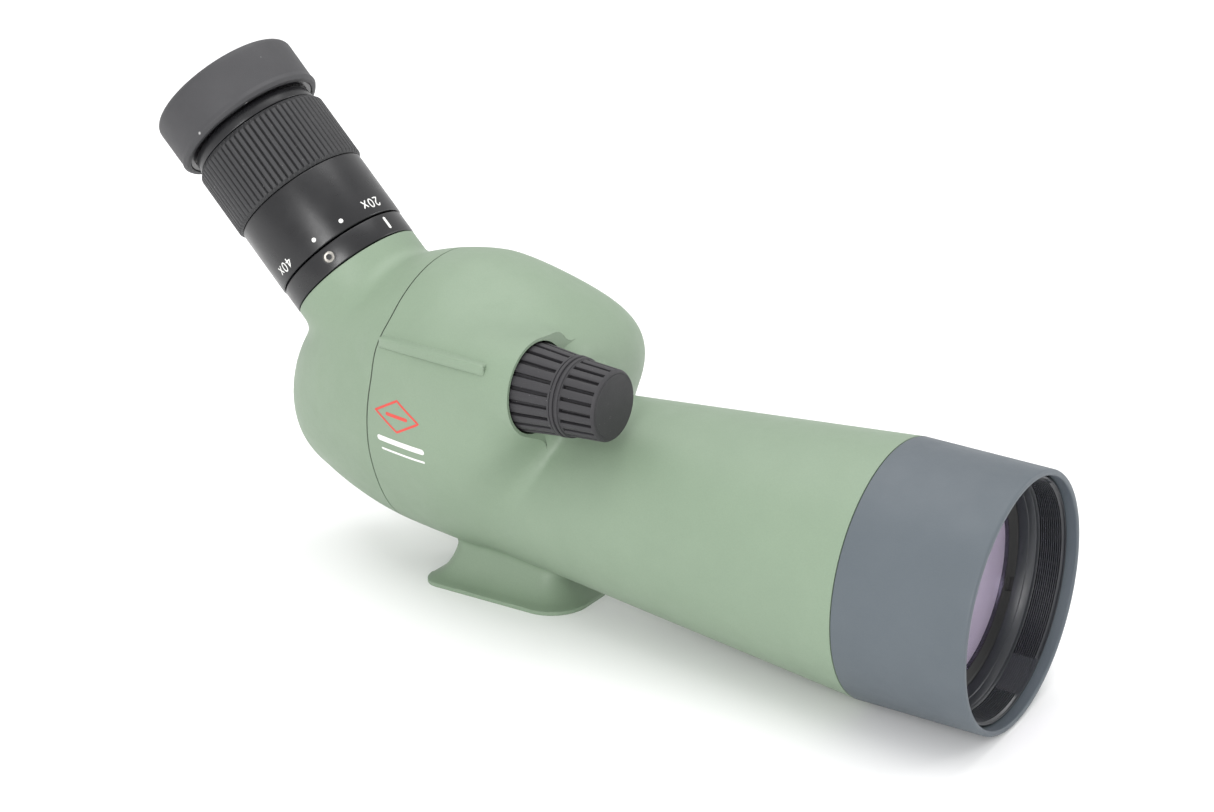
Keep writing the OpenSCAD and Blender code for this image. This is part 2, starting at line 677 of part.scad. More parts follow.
front_housing();
rear_cover();
cover_seal();
cover_screws();
tripod_bush();
hood();
objective_cell();
front_objective_lens();
rear_objective_lens();
lens_spacer();
objective_retaining_ring();
objective_seal();
light_baffles();
prism_bracket();
bracket_screws();
guide_rods();
deflection_prism();
knob_bush();
focus_shaft();
knob_core();
knob_grip();
knob_cap();
shaft_clip();
prism_carriage();
erecting_prism();
prism_clip();
focus_nut();
eyepiece_base_ring();
base_set_screw();
eyepiece_seal();
inner_barrel();
field_stop();
eye_sleeve();
eye_lens();
eye_lens_ring();
zoom_ring();
zoom_grip();
cam_sleeve();
front_zoom_cell();
front_zoom_lens();
rear_zoom_cell();
rear_zoom_lens();
eyecup_guide_ring();
eyecup_core();
eyecup_rubber();
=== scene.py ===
import math

import bmesh
import bpy
import numpy as np
from mathutils import Matrix, Vector


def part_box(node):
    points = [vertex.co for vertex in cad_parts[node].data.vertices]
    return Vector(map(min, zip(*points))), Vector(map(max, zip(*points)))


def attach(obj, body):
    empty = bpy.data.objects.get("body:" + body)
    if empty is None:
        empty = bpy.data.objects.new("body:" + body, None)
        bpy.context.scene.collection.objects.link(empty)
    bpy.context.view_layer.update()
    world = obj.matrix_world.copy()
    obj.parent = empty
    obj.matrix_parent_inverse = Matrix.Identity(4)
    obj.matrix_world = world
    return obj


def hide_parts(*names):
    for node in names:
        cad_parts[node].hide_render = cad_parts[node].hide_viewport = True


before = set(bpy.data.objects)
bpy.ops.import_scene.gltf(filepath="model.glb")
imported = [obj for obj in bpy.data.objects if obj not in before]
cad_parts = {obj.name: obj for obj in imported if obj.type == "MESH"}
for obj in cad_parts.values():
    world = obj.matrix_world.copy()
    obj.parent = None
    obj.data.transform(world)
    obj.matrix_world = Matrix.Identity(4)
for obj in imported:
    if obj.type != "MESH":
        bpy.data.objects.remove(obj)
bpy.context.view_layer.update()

MM = 0.001
VOXEL = 0.9   # grid of the body's surface, mm
TURN = 224     # segments round a turned piece

# ---------------------------------------------------------------- dimensions, mm
AXIS_Z = 31.5
TUBE_FRONT_X, TUBE_FRONT_R, TUBE_TAPER = 106.0, 31.55, 0.085
PARTING_X = -26.5
HOOD_FRONT_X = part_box("hood")[1].x / MM
HOOD_R, HOOD_INNER_R = 31.0, 29.5

EGG_MID_X, EGG_WIDE_X, EGG_FRONT_X, EGG_REAR_X = -12.7, -5.0, 24.0, -74.0
EGG_HALF_H, EGG_HALF_W = 36.8, 34.0
EGG_Z_MID, EGG_Z_FRONT, EGG_Z_REAR = 19.2, 30.0, 6.7
TUBE_END_LEN = 34.0

EYE = np.array([-54.85, 0.0, AXIS_Z + 42.95])
ROOT_HALF = math.sqrt(0.5)
EYE_DIR = np.array([-ROOT_HALF, 0.0, ROOT_HALF])      # from the body towards the eye
EYE_UP = np.array([ROOT_HALF, 0.0, ROOT_HALF])        # across the eyepiece, forwards and up
EYE_RIGHT = np.array([0.0, -1.0, 0.0])                # the observer's right
COLLAR_R = 18.3

KNOB_Y, KNOB_Z = -22.8, AXIS_Z + 34.1
FAIRING_X, FAIRING_R, FAIRING_REAR_X = 20.5, 12.2, -30.0
POCKET_FLOOR_X, POCKET_R, CHANNEL_R = 11.0, 11.45, 12.65
KNOB_TIP_X = 42.9

FOOT_LEN, FOOT_HALF_W, FOOT_NARROWING = 44.6, 18.5, 2.5
FOOT_PLATE_H, FOOT_FLARE_H, FOOT_FLARE, FOOT_REAR_SHARE = 1.2, 12.0, 9.0, 0.55

# ---------------------------------------------------------------- mesh helpers


def finish_mesh(name, verts_mm, faces, material, body, slot, replaced=(), smooth_angle=40):
    """A piece from points in millimetres; it rides on a body and stands for CAD nodes."""
    mesh = bpy.data.meshes.new(name)
    mesh.from_pydata((np.asarray(verts_mm, float) * MM).tolist(), [], [list(f) for f in faces])
    return finish_object(name, mesh, material, body, slot, replaced, smooth_angle)


def finish_object(name, mesh, material, body, slot, replaced=(), smooth_angle=40):
    mesh.validate()
    mesh.polygons.foreach_set("use_smooth", [True] * len(mesh.polygons))
    mesh.set_sharp_from_angle(angle=math.radians(smooth_angle))
    mesh.materials.clear()
    mesh.materials.append(material)
    obj = bpy.data.objects.new(name, mesh)
    bpy.context.scene.collection.objects.link(obj)
    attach(obj, body)
    if replaced:
        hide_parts(*replaced)
    return obj


def filleted(points, steps=5):
    """A profile of (radius, along, fillet) corners as plain points, with arcs at the corners."""
    out = []
    count = len(points)
    for i, (r, t, fillet) in enumerate(points):
        here = np.array([r, t], float)
        if fillet <= 0:
            out.append(here)
            continue
        before = np.array(points[i - 1][:2], float) - here
        after = np.array(points[(i + 1) % count][:2], float) - here
        la, lb = np.linalg.norm(before), np.linalg.norm(after)
        ua, ub = before / la, after / lb
        half = 0.5 * math.acos(float(np.clip(ua @ ub, -1, 1)))
        cut = min(fillet / math.tan(half), 0.48 * la, 0.48 * lb)
        radius = cut * math.tan(half)
        centre = here + (ua + ub) / np.linalg.norm(ua + ub) * radius / math.sin(half)
        start, end = here + ua * cut - centre, here + ub * cut - centre
        sweep = math.pi - 2 * half
        for k in range(steps + 1):
            f = k / steps
            mix = (math.sin((1 - f) * sweep) * start + math.sin(f * sweep) * end) / math.sin(sweep)
            out.append(centre + mix)
    return np.array(out)


def axis_frame(origin, along, up):
    """Origin and three directions of a turned piece: along its axis, its zero angle, its side."""
    along, up = np.array(along, float), np.array(up, float)
    return np.array(origin, float), along, up, np.cross(along, up)


OPTICAL = axis_frame([0, 0, AXIS_Z], [1, 0, 0], [0, 0, 1])
UPRIGHT = axis_frame([0, 0, 0], [0, 0, 1], [1, 0, 0])
EYEPIECE = axis_frame(EYE, EYE_DIR, EYE_UP)
KNOB = axis_frame([0, KNOB_Y, KNOB_Z], [1, 0, 0], [0, 0, 1])


def turned_points(where, profile, segments, shape=None, angles=None):
    origin, along, up, side = where
    angle = np.arange(segments) * 2 * math.pi / segments if angles is None else angles
    segments = len(angle)
    r = np.repeat(profile[:, :1], segments, 1)
    t = np.repeat(profile[:, 1:], segments, 1)
    if shape is not None:
        r, t = shape(angle[None, :], r, t)
    radial = up[None, None] * np.cos(angle)[None, :, None] + side[None, None] * np.sin(angle)[None, :, None]
    return origin + along * t[..., None] + radial * r[..., None]


def turned(name, where, profile, material, body, slot, replaced=(), shape=None, angles=None,
           closed=True, smooth_angle=40):
    """A turned piece: the profile's (radius, along) points swept round an axis."""
    points = turned_points(where, np.asarray(profile, float), TURN, shape, angles)
    rows, segments = points.shape[:2]
    faces = []
    for i in range(rows if closed else rows - 1):
        a, b = i, (i + 1) % rows
        for j in range(segments):
            k = (j + 1) % segments
            faces.append((a * segments + j, b * segments + j, b * segments + k, a * segments + k))
    verts = points.reshape(-1, 3)
    obj = finish_mesh(name, verts, faces, material, body, slot, replaced, smooth_angle)
    outward(obj)
    return obj


def outward(obj):
    bm = bmesh.new()
    bm.from_mesh(obj.data)
    bmesh.ops.remove_doubles(bm, verts=bm.verts, dist=1e-7)
    bmesh.ops.recalc_face_normals(bm, faces=bm.faces)
    bm.to_mesh(obj.data)
    bm.free()


# ---------------------------------------------------------------- materials


class Nodes:
    """A material's node tree, with short ways to add the nodes that every material uses."""

    def __init__(self, name):
        self.material = bpy.data.materials.new(name)
        self.material.use_nodes = True
        self.tree = self.material.node_tree
        self.tree.nodes.clear()
        self.output = self.add("ShaderNodeOutputMaterial")
        self.shader = self.add("ShaderNodeBsdfPrincipled")
        self.link(self.shader.outputs[0], self.output.inputs[0])
        self.coord = self.add("ShaderNodeTexCoord").outputs["Object"]

    def add(self, kind, **values):
        node = self.tree.nodes.new(kind)
        for key, value in values.items():
            setattr(node, key, value)
        return node

    def link(self, a, b):
        self.tree.links.new(a, b)

    def set(self, **values):
        for key, value in values.items():
            self.shader.inputs[key.replace("_", " ")].default_value = value

    def noise(self, scale, detail=3.0, rough=0.5, coord=None, distortion=0.0):
        node = self.add("ShaderNodeTexNoise")
        node.inputs["Scale"].default_value = scale
        node.inputs["Detail"].default_value = detail
        node.inputs["Roughness"].default_value = rough
        node.inputs["Distortion"].default_value = distortion
        self.link(coord or self.coord, node.inputs["Vector"])
        return node.outputs["Fac"]

    def ramp(self, value, stops):
        node = self.add("ShaderNodeValToRGB")
        ramp = node.color_ramp
        while len(ramp.elements) < len(stops):
            ramp.elements.new(0.5)
        for element, (place, colour) in zip(ramp.elements, stops):
            element.position = place
            element.color = (*colour, 1) if len(colour) == 3 else colour
        self.link(value, node.inputs["Fac"])
        return node.outputs["Color"]

    def spread(self, value, low, high, from_low=0.3, from_high=0.7):
        node = self.add("ShaderNodeMapRange")
        node.inputs["From Min"].default_value = from_low
        node.inputs["From Max"].default_value = from_high
        node.inputs["To Min"].default_value = low
        node.inputs["To Max"].default_value = high
        self.link(value, node.inputs["Value"])
        return node.outputs["Result"]

    def mix(self, factor, a, b):
        node = self.add("ShaderNodeMix", data_type="RGBA")
        for socket, value in ((node.inputs["Factor"], factor), (node.inputs["A"], a), (node.inputs["B"], b)):
            if isinstance(value, (int, float, tuple)):
                socket.default_value = value if not isinstance(value, tuple) else (*value, 1)
            else:
                self.link(value, socket)
        return node.outputs["Result"]

    def bump(self, height, strength, distance, normal=None):
        node = self.add("ShaderNodeBump")
        node.inputs["Strength"].default_value = strength
        node.inputs["Distance"].default_value = distance
        self.link(height, node.inputs["Height"])
        if normal is not None:
            self.link(normal, node.inputs["Normal"])
        self.link(node.outputs["Normal"], self.shader.inputs["Normal"])
        return node.outputs["Normal"]

    def soft_edges(self, radius):
        node = self.add("ShaderNodeBevel", samples=6)
        node.inputs["Radius"].default_value = radius
        return node.outputs["Normal"]


def grained(name, colour, darker, roughness, grain_mm, grain_strength, spread=0.06, metallic=0.0,
            specular=0.5, specks=None, soft=0.0):
    """A moulded or painted finish: two close shades in clouds, a fine grain, and uneven gloss."""
    m = Nodes(name)
    clouds = m.noise(38.0, 4.0, 0.6)
    fine = m.noise(1000.0 / grain_mm, 2.0, 0.6)
    base = m.ramp(clouds, [(0.3, darker), (0.7, colour)])
    base = m.mix(m.spread(fine, 0.0, 0.22), base, tuple(c * 0.72 for c in colour))
    if specks is not None:
        cells = m.add("ShaderNodeTexVoronoi")
        cells.inputs["Scale"].default_value = specks[0]
        m.link(m.coord, cells.inputs["Vector"])
        rare = m.noise(specks[0] * 0.45, 1.0, 0.5)
        spot = m.add("ShaderNodeMath", operation="MULTIPLY")
        m.link(m.spread(cells.outputs["Distance"], 1.0, 0.0, 0.05, 0.13), spot.inputs[0])
        m.link(m.spread(rare, 0.0, 1.0, 0.62, 0.66), spot.inputs[1])
        base = m.mix(spot.outputs[0], base, specks[1])
    m.link(base, m.shader.inputs["Base Color"])
    uneven = m.spread(m.noise(120.0, 5.0, 0.65), roughness - spread, roughness + spread)
    m.link(uneven, m.shader.inputs["Roughness"])
    m.set(Metallic=metallic)
    m.set(Specular_IOR_Level=specular)
    m.bump(fine, grain_strength, 0.0001, m.soft_edges(soft * MM) if soft else None)
    return m.material


def brushed(name, colour, roughness, line_scale, metallic, lines=0.12, soft=0.15, where=OPTICAL):
    """A turned metal finish: fine tool lines that run round the piece's own axis."""
    m = Nodes(name)
    origin, along = where[:2]
    shift = m.add("ShaderNodeVectorMath", operation="SUBTRACT")
    m.link(m.coord, shift.inputs[0])
    shift.inputs[1].default_value = tuple(origin * MM)
    dot = m.add("ShaderNodeVectorMath", operation="DOT_PRODUCT")
    m.link(shift.outputs["Vector"], dot.inputs[0])
    dot.inputs[1].default_value = tuple(along)
    wave = m.add("ShaderNodeTexNoise", noise_dimensions="1D")
    wave.inputs["Scale"].default_value = line_scale
    wave.inputs["Detail"].default_value = 3.0
    m.link(dot.outputs["Value"], wave.inputs["W"])
    clouds = m.ramp(m.noise(60.0, 4.0, 0.6), [(0.3, tuple(c * 0.85 for c in colour)), (0.7, colour)])
    m.link(clouds, m.shader.inputs["Base Color"])
    uneven = m.spread(m.noise(170.0, 5.0, 0.65), roughness - 0.05, roughness + 0.07)
    m.link(uneven, m.shader.inputs["Roughness"])
    m.set(Metallic=metallic)
    m.bump(wave.outputs["Fac"], lines, 0.00003, m.soft_edges(soft * MM))
    return m.material


GREEN = grained("sage_paint", (0.212, 0.283, 0.2), (0.196, 0.264, 0.186), 0.5, 0.35, 0.16, soft=0.35)
HOOD_RUBBER = grained("hood_rubber", (0.088, 0.106, 0.122), (0.078, 0.095, 0.110), 0.52, 0.3, 0.22)
KNOB_RUBBER = grained("knob_rubber", (0.030, 0.0285, 0.032), (0.024, 0.023, 0.026), 0.62, 0.22, 0.5,
                      specks=(1500.0, (0.35, 0.34, 0.33)))
GRIP_RUBBER = grained("grip_rubber", (0.03, 0.03, 0.032), (0.024, 0.024, 0.026), 0.55, 0.2, 0.4,
                      specks=(900.0, (0.3, 0.3, 0.3)))
CUP_RUBBER = grained("eyecup_rubber", (0.047, 0.0465, 0.05), (0.04, 0.0395, 0.043), 0.6, 0.25, 0.25,
                     specks=(260.0, (0.4, 0.4, 0.4)))
SEAL = grained("seal_rubber", (0.012, 0.012, 0.012), (0.008, 0.008, 0.008), 0.6, 0.3, 0.2)
ANODISED = brushed("eyepiece_anodised", (0.009, 0.009, 0.0105), 0.3, 9000.0, 0.0, 0.12, where=EYEPIECE)
CELL_BLACK = brushed("objective_anodised", (0.032, 0.035, 0.04), 0.34, 7000.0, 0.0, 0.05, where=OPTICAL)
BLACK_PLATE = grained("inner_black", (0.02, 0.02, 0.021), (0.016, 0.016, 0.017), 0.5, 0.4, 0.3)
STEEL = brushed("turned_steel", (0.62, 0.6, 0.57), 0.28, 6000.0, 1.0, where=KNOB)
SCREW_STEEL = brushed("screw_steel", (0.34, 0.325, 0.3), 0.36, 6000.0, 1.0, where=KNOB)
BRASS = brushed("turned_brass", (0.72, 0.52, 0.24), 0.3, 6000.0, 1.0, where=KNOB)
WHITE_MARK = grained("white_print", (0.82, 0.82, 0.8), (0.76, 0.76, 0.74), 0.5, 0.15, 0.3)
RED_MARK = grained("red_print", (0.62, 0.06, 0.045), (0.55, 0.05, 0.04), 0.5, 0.15, 0.3)


def coated_glass(name, tint, sheen, share, thin=False):
    """Clear glass whose coating has a faintly coloured reflection; thin glass doesn't bend the light."""
    m = Nodes(name)
    m.set(Base_Color=(*tint, 1))
    m.set(IOR=1.52)
    m.set(Transmission_Weight=1.0)
    smudge = m.noise(90.0, 5.0, 0.6)
    m.link(m.spread(smudge, 0.0, 0.03, 0.45, 0.8), m.shader.inputs["Roughness"])
    coat = m.add("ShaderNodeBsdfGlossy")
    coat.inputs["Color"].default_value = (*sheen, 1)
    coat.inputs["Roughness"].default_value = 0.02
    blend = m.add("ShaderNodeMixShader")
    fresnel = m.add("ShaderNodeLayerWeight")
    fresnel.inputs["Blend"].default_value = 0.35
    m.link(m.spread(fresnel.outputs["Facing"], share * 0.5, share * 1.6, 0.0, 1.0), blend.inputs[0])
    clear = m.shader
    if thin:
        clear = m.add("ShaderNodeBsdfTransparent")
        m.link(m.mix(smudge, tint, tuple(0.96 * c for c in tint)), clear.inputs["Color"])
    m.link(clear.outputs[0], blend.inputs[1])
    m.link(coat.outputs[0], blend.inputs[2])
    m.link(blend.outputs[0], m.output.inputs[0])
    return m.material


def painted_lens_reflection():
    """The coated face of the glass behind: its pale mauve base colour is a painted reflection of the bright
    surroundings, and its clear coat reflects the lamps.
    """
    m = Nodes("lens_face_painted_reflection")
    cloud = m.noise(40.0, 4.0, 0.5)
    # pale mauve base colour in random clouds: a painted reflection, not the glass's own colour
    m.link(m.mix(cloud, (0.86, 0.75, 0.80), (0.90, 0.79, 0.84)), m.shader.inputs["Base Color"])
    m.set(Roughness=0.09)
    m.set(IOR=2.6)
    m.set(Coat_Weight=0.6)
    m.set(Coat_Roughness=0.03)
    return m.material


GLASS = coated_glass("coated_glass", (0.93, 0.95, 1.0), (0.78, 0.70, 0.92), 0.12)
FRONT_GLASS = coated_glass("front_glass", (0.96, 0.96, 1.0), (0.78, 0.70, 0.92), 0.1, thin=True)
LENS_REFLECTION_PAINT = painted_lens_reflection()
PRISM_GLASS = coated_glass("prism_glass", (0.95, 0.97, 0.96), (0.9, 0.95, 0.95), 0.06)

# ---------------------------------------------------------------- body surface


def falling(u, power, end):
    return np.clip(1 - np.clip(u, 0, 1) ** power, 0, 1) ** end


def soft_min(a, b, width):
    h = np.clip(width - np.abs(a - b), 0, None) / width
    return np.minimum(a, b) - h * h * width / 4


def soft_max(a, b, width):
    return -soft_min(-a, -b, width)


def tube_radius(x):
    return TUBE_FRONT_R - TUBE_TAPER * (TUBE_FRONT_X - x)


def egg_field(x, y, z):
    """Rough distance to the prism housing, an egg with elliptical sections."""
    ahead = (x - EGG_MID_X) / (EGG_FRONT_X - EGG_MID_X)
    behind = (EGG_MID_X - x) / (EGG_MID_X - EGG_REAR_X)
    h = EGG_HALF_H * falling(ahead, 1.6, 0.57) * falling(behind, 1.6, 0.37)
    w = (EGG_HALF_W * falling((x - EGG_WIDE_X) / (EGG_FRONT_X - EGG_WIDE_X), 5.4, 0.6)
         * falling((EGG_WIDE_X - x) / (EGG_WIDE_X - EGG_REAR_X), 1.5, 0.45))
    centre = (AXIS_Z + EGG_Z_MID + (EGG_Z_FRONT - EGG_Z_MID) * np.clip(ahead, 0, 1) ** 2
              + (EGG_Z_REAR - EGG_Z_MID) * np.clip(behind, 0, 1) ** 2)
    h, w = np.maximum(h, 0.2), np.maximum(w, 0.2)
    v = z - centre
    k0 = np.sqrt((y / w) ** 2 + (v / h) ** 2)
    k1 = np.sqrt((y / w ** 2) ** 2 + (v / h ** 2) ** 2)
    inside = k0 * (k0 - 1) / np.maximum(k1, 1e-6)
    past = np.maximum(np.maximum(x - EGG_FRONT_X, EGG_REAR_X - x), 0)
    return np.where(past > 0, np.hypot(np.maximum(inside, 0), past) + 0.1, inside)


def tube_field(x, y, z):
    r = tube_radius(x) * falling((PARTING_X - x) / TUBE_END_LEN, 2, 0.5)
    past = np.maximum(PARTING_X - TUBE_END_LEN - x, 0)
    return np.hypot(y, z - AXIS_Z) - r + past


def collar_field(x, y, z):
    dx, dz = x - EYE[0], z - EYE[2]
    along = dx * EYE_DIR[0] + dz * EYE_DIR[2]
    across = dx * EYE_UP[0] + dz * EYE_UP[2]
    return soft_max(np.hypot(across, y) - COLLAR_R, -along - 30, 2)


def foot_field(x, y, z):
    rise = np.clip((z - FOOT_PLATE_H) / FOOT_FLARE_H, 0, 1)
    inset = FOOT_FLARE * np.sqrt(1 - (1 - rise) ** 2)
    radius = np.where(x > 0, 10 - 0.6 * inset, 5 - 0.2 * inset)
    half_w = FOOT_HALF_W - FOOT_NARROWING * np.clip(x / FOOT_LEN + 0.5, 0, 1)
    qx = np.abs(x) - (FOOT_LEN / 2 - inset * np.where(x > 0, 1, FOOT_REAR_SHARE) - radius)
    qy = np.abs(y) - (half_w - inset - radius)
    flat = np.hypot(np.maximum(qx, 0), np.maximum(qy, 0)) + np.minimum(np.maximum(qx, qy), 0) - radius
    return soft_max(soft_max(flat, -z - 2.6, 0.8), z - 24, 1)


# The swelling between the knob and the middle of the housing
SHOULDER_START = np.array([0.0, -3.0, 61.0])
SHOULDER_END = np.array([18.5, -8.5, 64.5])
SHOULDER_R = 8.4


def shoulder_field(x, y, z):
    line = SHOULDER_END - SHOULDER_START
    f = ((x - SHOULDER_START[0]) * line[0] + (y - SHOULDER_START[1]) * line[1]) / (line @ line)
    f = np.clip(f, 0, 1)
    return np.sqrt((x - SHOULDER_START[0] - f * line[0]) ** 2 + (y - SHOULDER_START[1] - f * line[1]) ** 2
                   + (z - SHOULDER_START[2]) ** 2) - SHOULDER_R


def fairing_field(x, y, z):
    """The swelling that carries the focus knob; its rim reaches out towards the top."""
    u = np.clip((x - FAIRING_REAR_X) / (FAIRING_X - FAIRING_REAR_X), 0, 1)
    around = np.degrees(np.arctan2(-(y - KNOB_Y), z - KNOB_Z))
    flare = 2.4 * np.exp(-((around + 42) / 17) ** 2) * np.clip((x - 4) / 16, 0, 1) ** 1.5
    r = 2.0 + (FAIRING_R - 2.0) * np.sin(u * math.pi / 2) ** 0.8 + flare
    return np.hypot(y - KNOB_Y, z - KNOB_Z) - r + np.maximum(FAIRING_REAR_X - x, 0)


def body_field(x, y, z):
    shell = soft_min(egg_field(x, y, z), tube_field(x, y, z), 9.0)
    shell = soft_min(shell, shoulder_field(x, y, z), 11.0)
    shell = soft_min(shell, collar_field(x, y, z), 3.4)
    return soft_min(shell, foot_field(x, y, z), 2.5)


def faired_field(x, y, z):
    return soft_min(body_field(x, y, z), fairing_field(x, y, z), 6.0)


CORNERS = [(i, j, k) for i in (0, 1) for j in (0, 1) for k in (0, 1)]


def surface_of(field, low, high, step):
    """A closed quad mesh of the field's zero surface, one point in each crossed grid cell."""
    axes = [np.arange(a, b + step, step) for a, b in zip(low, high)]
    values = np.empty([len(a) for a in axes], np.float32)
    yy, zz = np.meshgrid(axes[1], axes[2], indexing="ij")
    for i, x in enumerate(axes[0]):
        values[i] = field(np.full_like(yy, x), yy, zz)
    inside = values < 0
    size = [n - 1 for n in values.shape]

    def corner(grid, c):
        return grid[c[0]:c[0] + size[0], c[1]:c[1] + size[1], c[2]:c[2] + size[2]]

    count = sum(corner(inside, c).astype(np.int8) for c in CORNERS)
    crossed = (count > 0) & (count < 8)
    cells = np.argwhere(crossed)
    number = np.full(size, -1)
    number[crossed] = np.arange(len(cells))
    total, hits = np.zeros((len(cells), 3)), np.zeros(len(cells))
    for a in CORNERS:
        for axis in range(3):
            if a[axis]:
                continue
            b = tuple(v + (n == axis) for n, v in enumerate(a))
            va, vb = corner(values, a)[crossed], corner(values, b)[crossed]
            cut = (va < 0) != (vb < 0)
            share = np.where(cut, va / np.where(cut, va - vb, 1), 0)
            point = np.repeat(np.array([a], float), len(cells), 0)
            point[:, axis] += share
            total += point * cut[:, None]
            hits += cut
    points = (cells + total / hits[:, None]) * step + np.array([a[0] for a in axes])
    quads = []
    for axis in range(3):
        u, v = (axis + 1) % 3, (axis + 2) % 3
        here = [slice(1, -1)] * 3
        here[axis] = slice(0, -1)
        there = list(here)
        there[axis] = slice(1, None)
        a, b = inside[tuple(here)], inside[tuple(there)]
        at = np.argwhere(a != b)
        leaving = a[a != b]
        at[:, u] += 1
        at[:, v] += 1
        ring = []
        for du, dv in ((0, 0), (1, 0), (1, 1), (0, 1)):
            cell = at.copy()
            cell[:, u] -= du
            cell[:, v] -= dv
            ring.append(number[cell[:, 0], cell[:, 1], cell[:, 2]])
        ring = np.stack(ring, 1)
        ring[~leaving] = ring[~leaving][:, ::-1]
        quads.append(ring)
    quads = np.concatenate(quads)
    points = settle(field, points, 4)
    return points, quads


def settle(field, points, rounds):
    """Moves points along the field's slope onto its zero surface."""
    eps = 0.05
    for _ in range(rounds):
        x, y, z = points.T
        value = field(x, y, z)
        slope = np.stack([
            field(x + eps, y, z) - field(x - eps, y, z),
            field(x, y + eps, z) - field(x, y - eps, z),
            field(x, y, z + eps) - field(x, y, z - eps)], 1) / (2 * eps)
        step = -value[:, None] * slope / np.maximum((slope ** 2).sum(1, keepdims=True), 0.04)
        length = np.linalg.norm(step, axis=1, keepdims=True)
        points = points + step * np.minimum(1, 0.5 / np.maximum(length, 1e-9))
    return points


def mesh_from(points_mm, faces):
    mesh = bpy.data.meshes.new("raw")
    mesh.from_pydata((points_mm * MM).tolist(), [], faces.tolist())
    return mesh


def turned_mesh(where, profile, segments):
    points = turned_points(where, np.asarray(profile, float), segments)
    rows = len(points)
    faces = [[i * segments + j, (i + 1) * segments + j, (i + 1) * segments + (j + 1) % segments,
              i * segments + (j + 1) % segments] for i in range(rows - 1) for j in range(segments)]
    faces.append(list(range(segments))[::-1])
    faces.append([(rows - 1) * segments + j for j in range(segments)])
    mesh = bpy.data.meshes.new("cutter")
    mesh.from_pydata((points.reshape(-1, 3) * MM).tolist(), [], faces)
    bm = bmesh.new()
    bm.from_mesh(mesh)
    bmesh.ops.recalc_face_normals(bm, faces=bm.faces)
    bm.to_mesh(mesh)
    bm.free()
    return mesh


def carved(mesh, cutters):
    """The mesh with each closed cutter taken out of it."""
    obj = bpy.data.objects.new("carving", mesh)
    bpy.context.scene.collection.objects.link(obj)
    tools = []
    for cutter in cutters:
        tool = bpy.data.objects.new("tool", cutter)
        bpy.context.scene.collection.objects.link(tool)
        tools.append(tool)
        mod = obj.modifiers.new("cut", "BOOLEAN")
        mod.operation, mod.object, mod.solver = "DIFFERENCE", tool, "EXACT"
    bpy.context.view_layer.update()
    result = bpy.data.meshes.new_from_object(obj.evaluated_get(bpy.context.evaluated_depsgraph_get()))
    for thing in [obj, *tools]:
        bpy.data.objects.remove(thing)
    return result


def sliced(mesh, point_mm, normal, lip_mm=1.6):
    """The part of the mesh behind a plane, with the cut edge turned inwards as a lip."""
    bm = bmesh.new()
    bm.from_mesh(mesh)
    place, normal = Vector(point_mm) * MM, Vector(normal)
    bmesh.ops.bisect_plane(bm, geom=bm.verts[:] + bm.edges[:] + bm.faces[:], dist=1e-7, plane_co=place,
                           plane_no=normal, clear_outer=True)
    rim = [e for e in bm.edges if e.is_boundary and all(abs((v.co - place) @ normal) < 2e-6 for v in e.verts)]
    if rim and lip_mm:
        points = {v for e in rim for v in e.verts}
        centre = sum((v.co for v in points), Vector()) / len(points)
        made = bmesh.ops.extrude_edge_only(bm, edges=rim)
        new = [g for g in made["geom"] if isinstance(g, bmesh.types.BMVert)]
        for v in new:
            inward = centre - v.co
            v.co += inward.normalized() * lip_mm * MM
        again = [g for g in made["geom"] if isinstance(g, bmesh.types.BMEdge)]
        made = bmesh.ops.extrude_edge_only(bm, edges=again)
        for g in made["geom"]:
            if isinstance(g, bmesh.types.BMVert):
                g.co -= normal * min(3.0, lip_mm) * MM
    bmesh.ops.recalc_face_normals(bm, faces=bm.faces)
    result = bpy.data.meshes.new("sliced")
    bm.to_mesh(result)
    bm.free()
    return result


def solid_of(field):
    return mesh_from(*surface_of(field, (-78, -40, -4.5), (110, 38, 92), VOXEL))


def joined(meshes):
    """Several meshes as one, with coincident points merged."""
    bm = bmesh.new()
    for mesh in meshes:
        bm.from_mesh(mesh)
    bmesh.ops.remove_doubles(bm, verts=bm.verts, dist=4e-6)
    result = bpy.data.meshes.new("joined")
    bm.to_mesh(result)
    bm.free()
    return result


def rim_face():
    """The flat end of the knob's fairing, with the step between its pocket and the channel ahead."""
    origin, _, up, side = KNOB
    angles = np.radians(np.arange(0, 360, 1.0))
    reach = np.arange(POCKET_R, 22, 0.02)
    x = FAIRING_X - 0.01
    radial = np.cos(angles)[:, None] * up + np.sin(angles)[:, None] * side
    p = origin + np.array([x, 0, 0]) + radial[:, None] * reach[None, :, None]
    faired = faired_field(p[..., 0], p[..., 1], p[..., 2]) < 0
    plain = body_field(p[..., 0] + 0.02, p[..., 1], p[..., 2]) < 0
    edge = np.where(faired.all(1), CHANNEL_R + 0.05, reach[np.maximum(np.argmin(faired, 1) - 1, 0)])
    edge = np.where(plain.all(1), CHANNEL_R + 0.05, edge)
    inner = origin + np.array([x, 0, 0]) + radial * POCKET_R
    outer = origin + np.array([x, 0, 0]) + radial * np.maximum(edge, POCKET_R + 0.01)[:, None]
    count = len(angles)
    faces = [(i, (i + 1) % count, count + (i + 1) % count, count + i) for i in range(count)]
    mesh = bpy.data.meshes.new("rim")
    mesh.from_pydata((np.concatenate([inner, outer]) * MM).tolist(), [], faces)
    return mesh


def side_of_body(x, z):
    """How far out the right-hand side of the body stands, as its y."""
    near, far = -60.0, -5.0
    for _ in range(36):
        y = (near + far) / 2
        if faired_field(np.array([x]), np.array([y]), np.array([z]))[0] < 0:
            far = y
        else:
            near = y
    return near


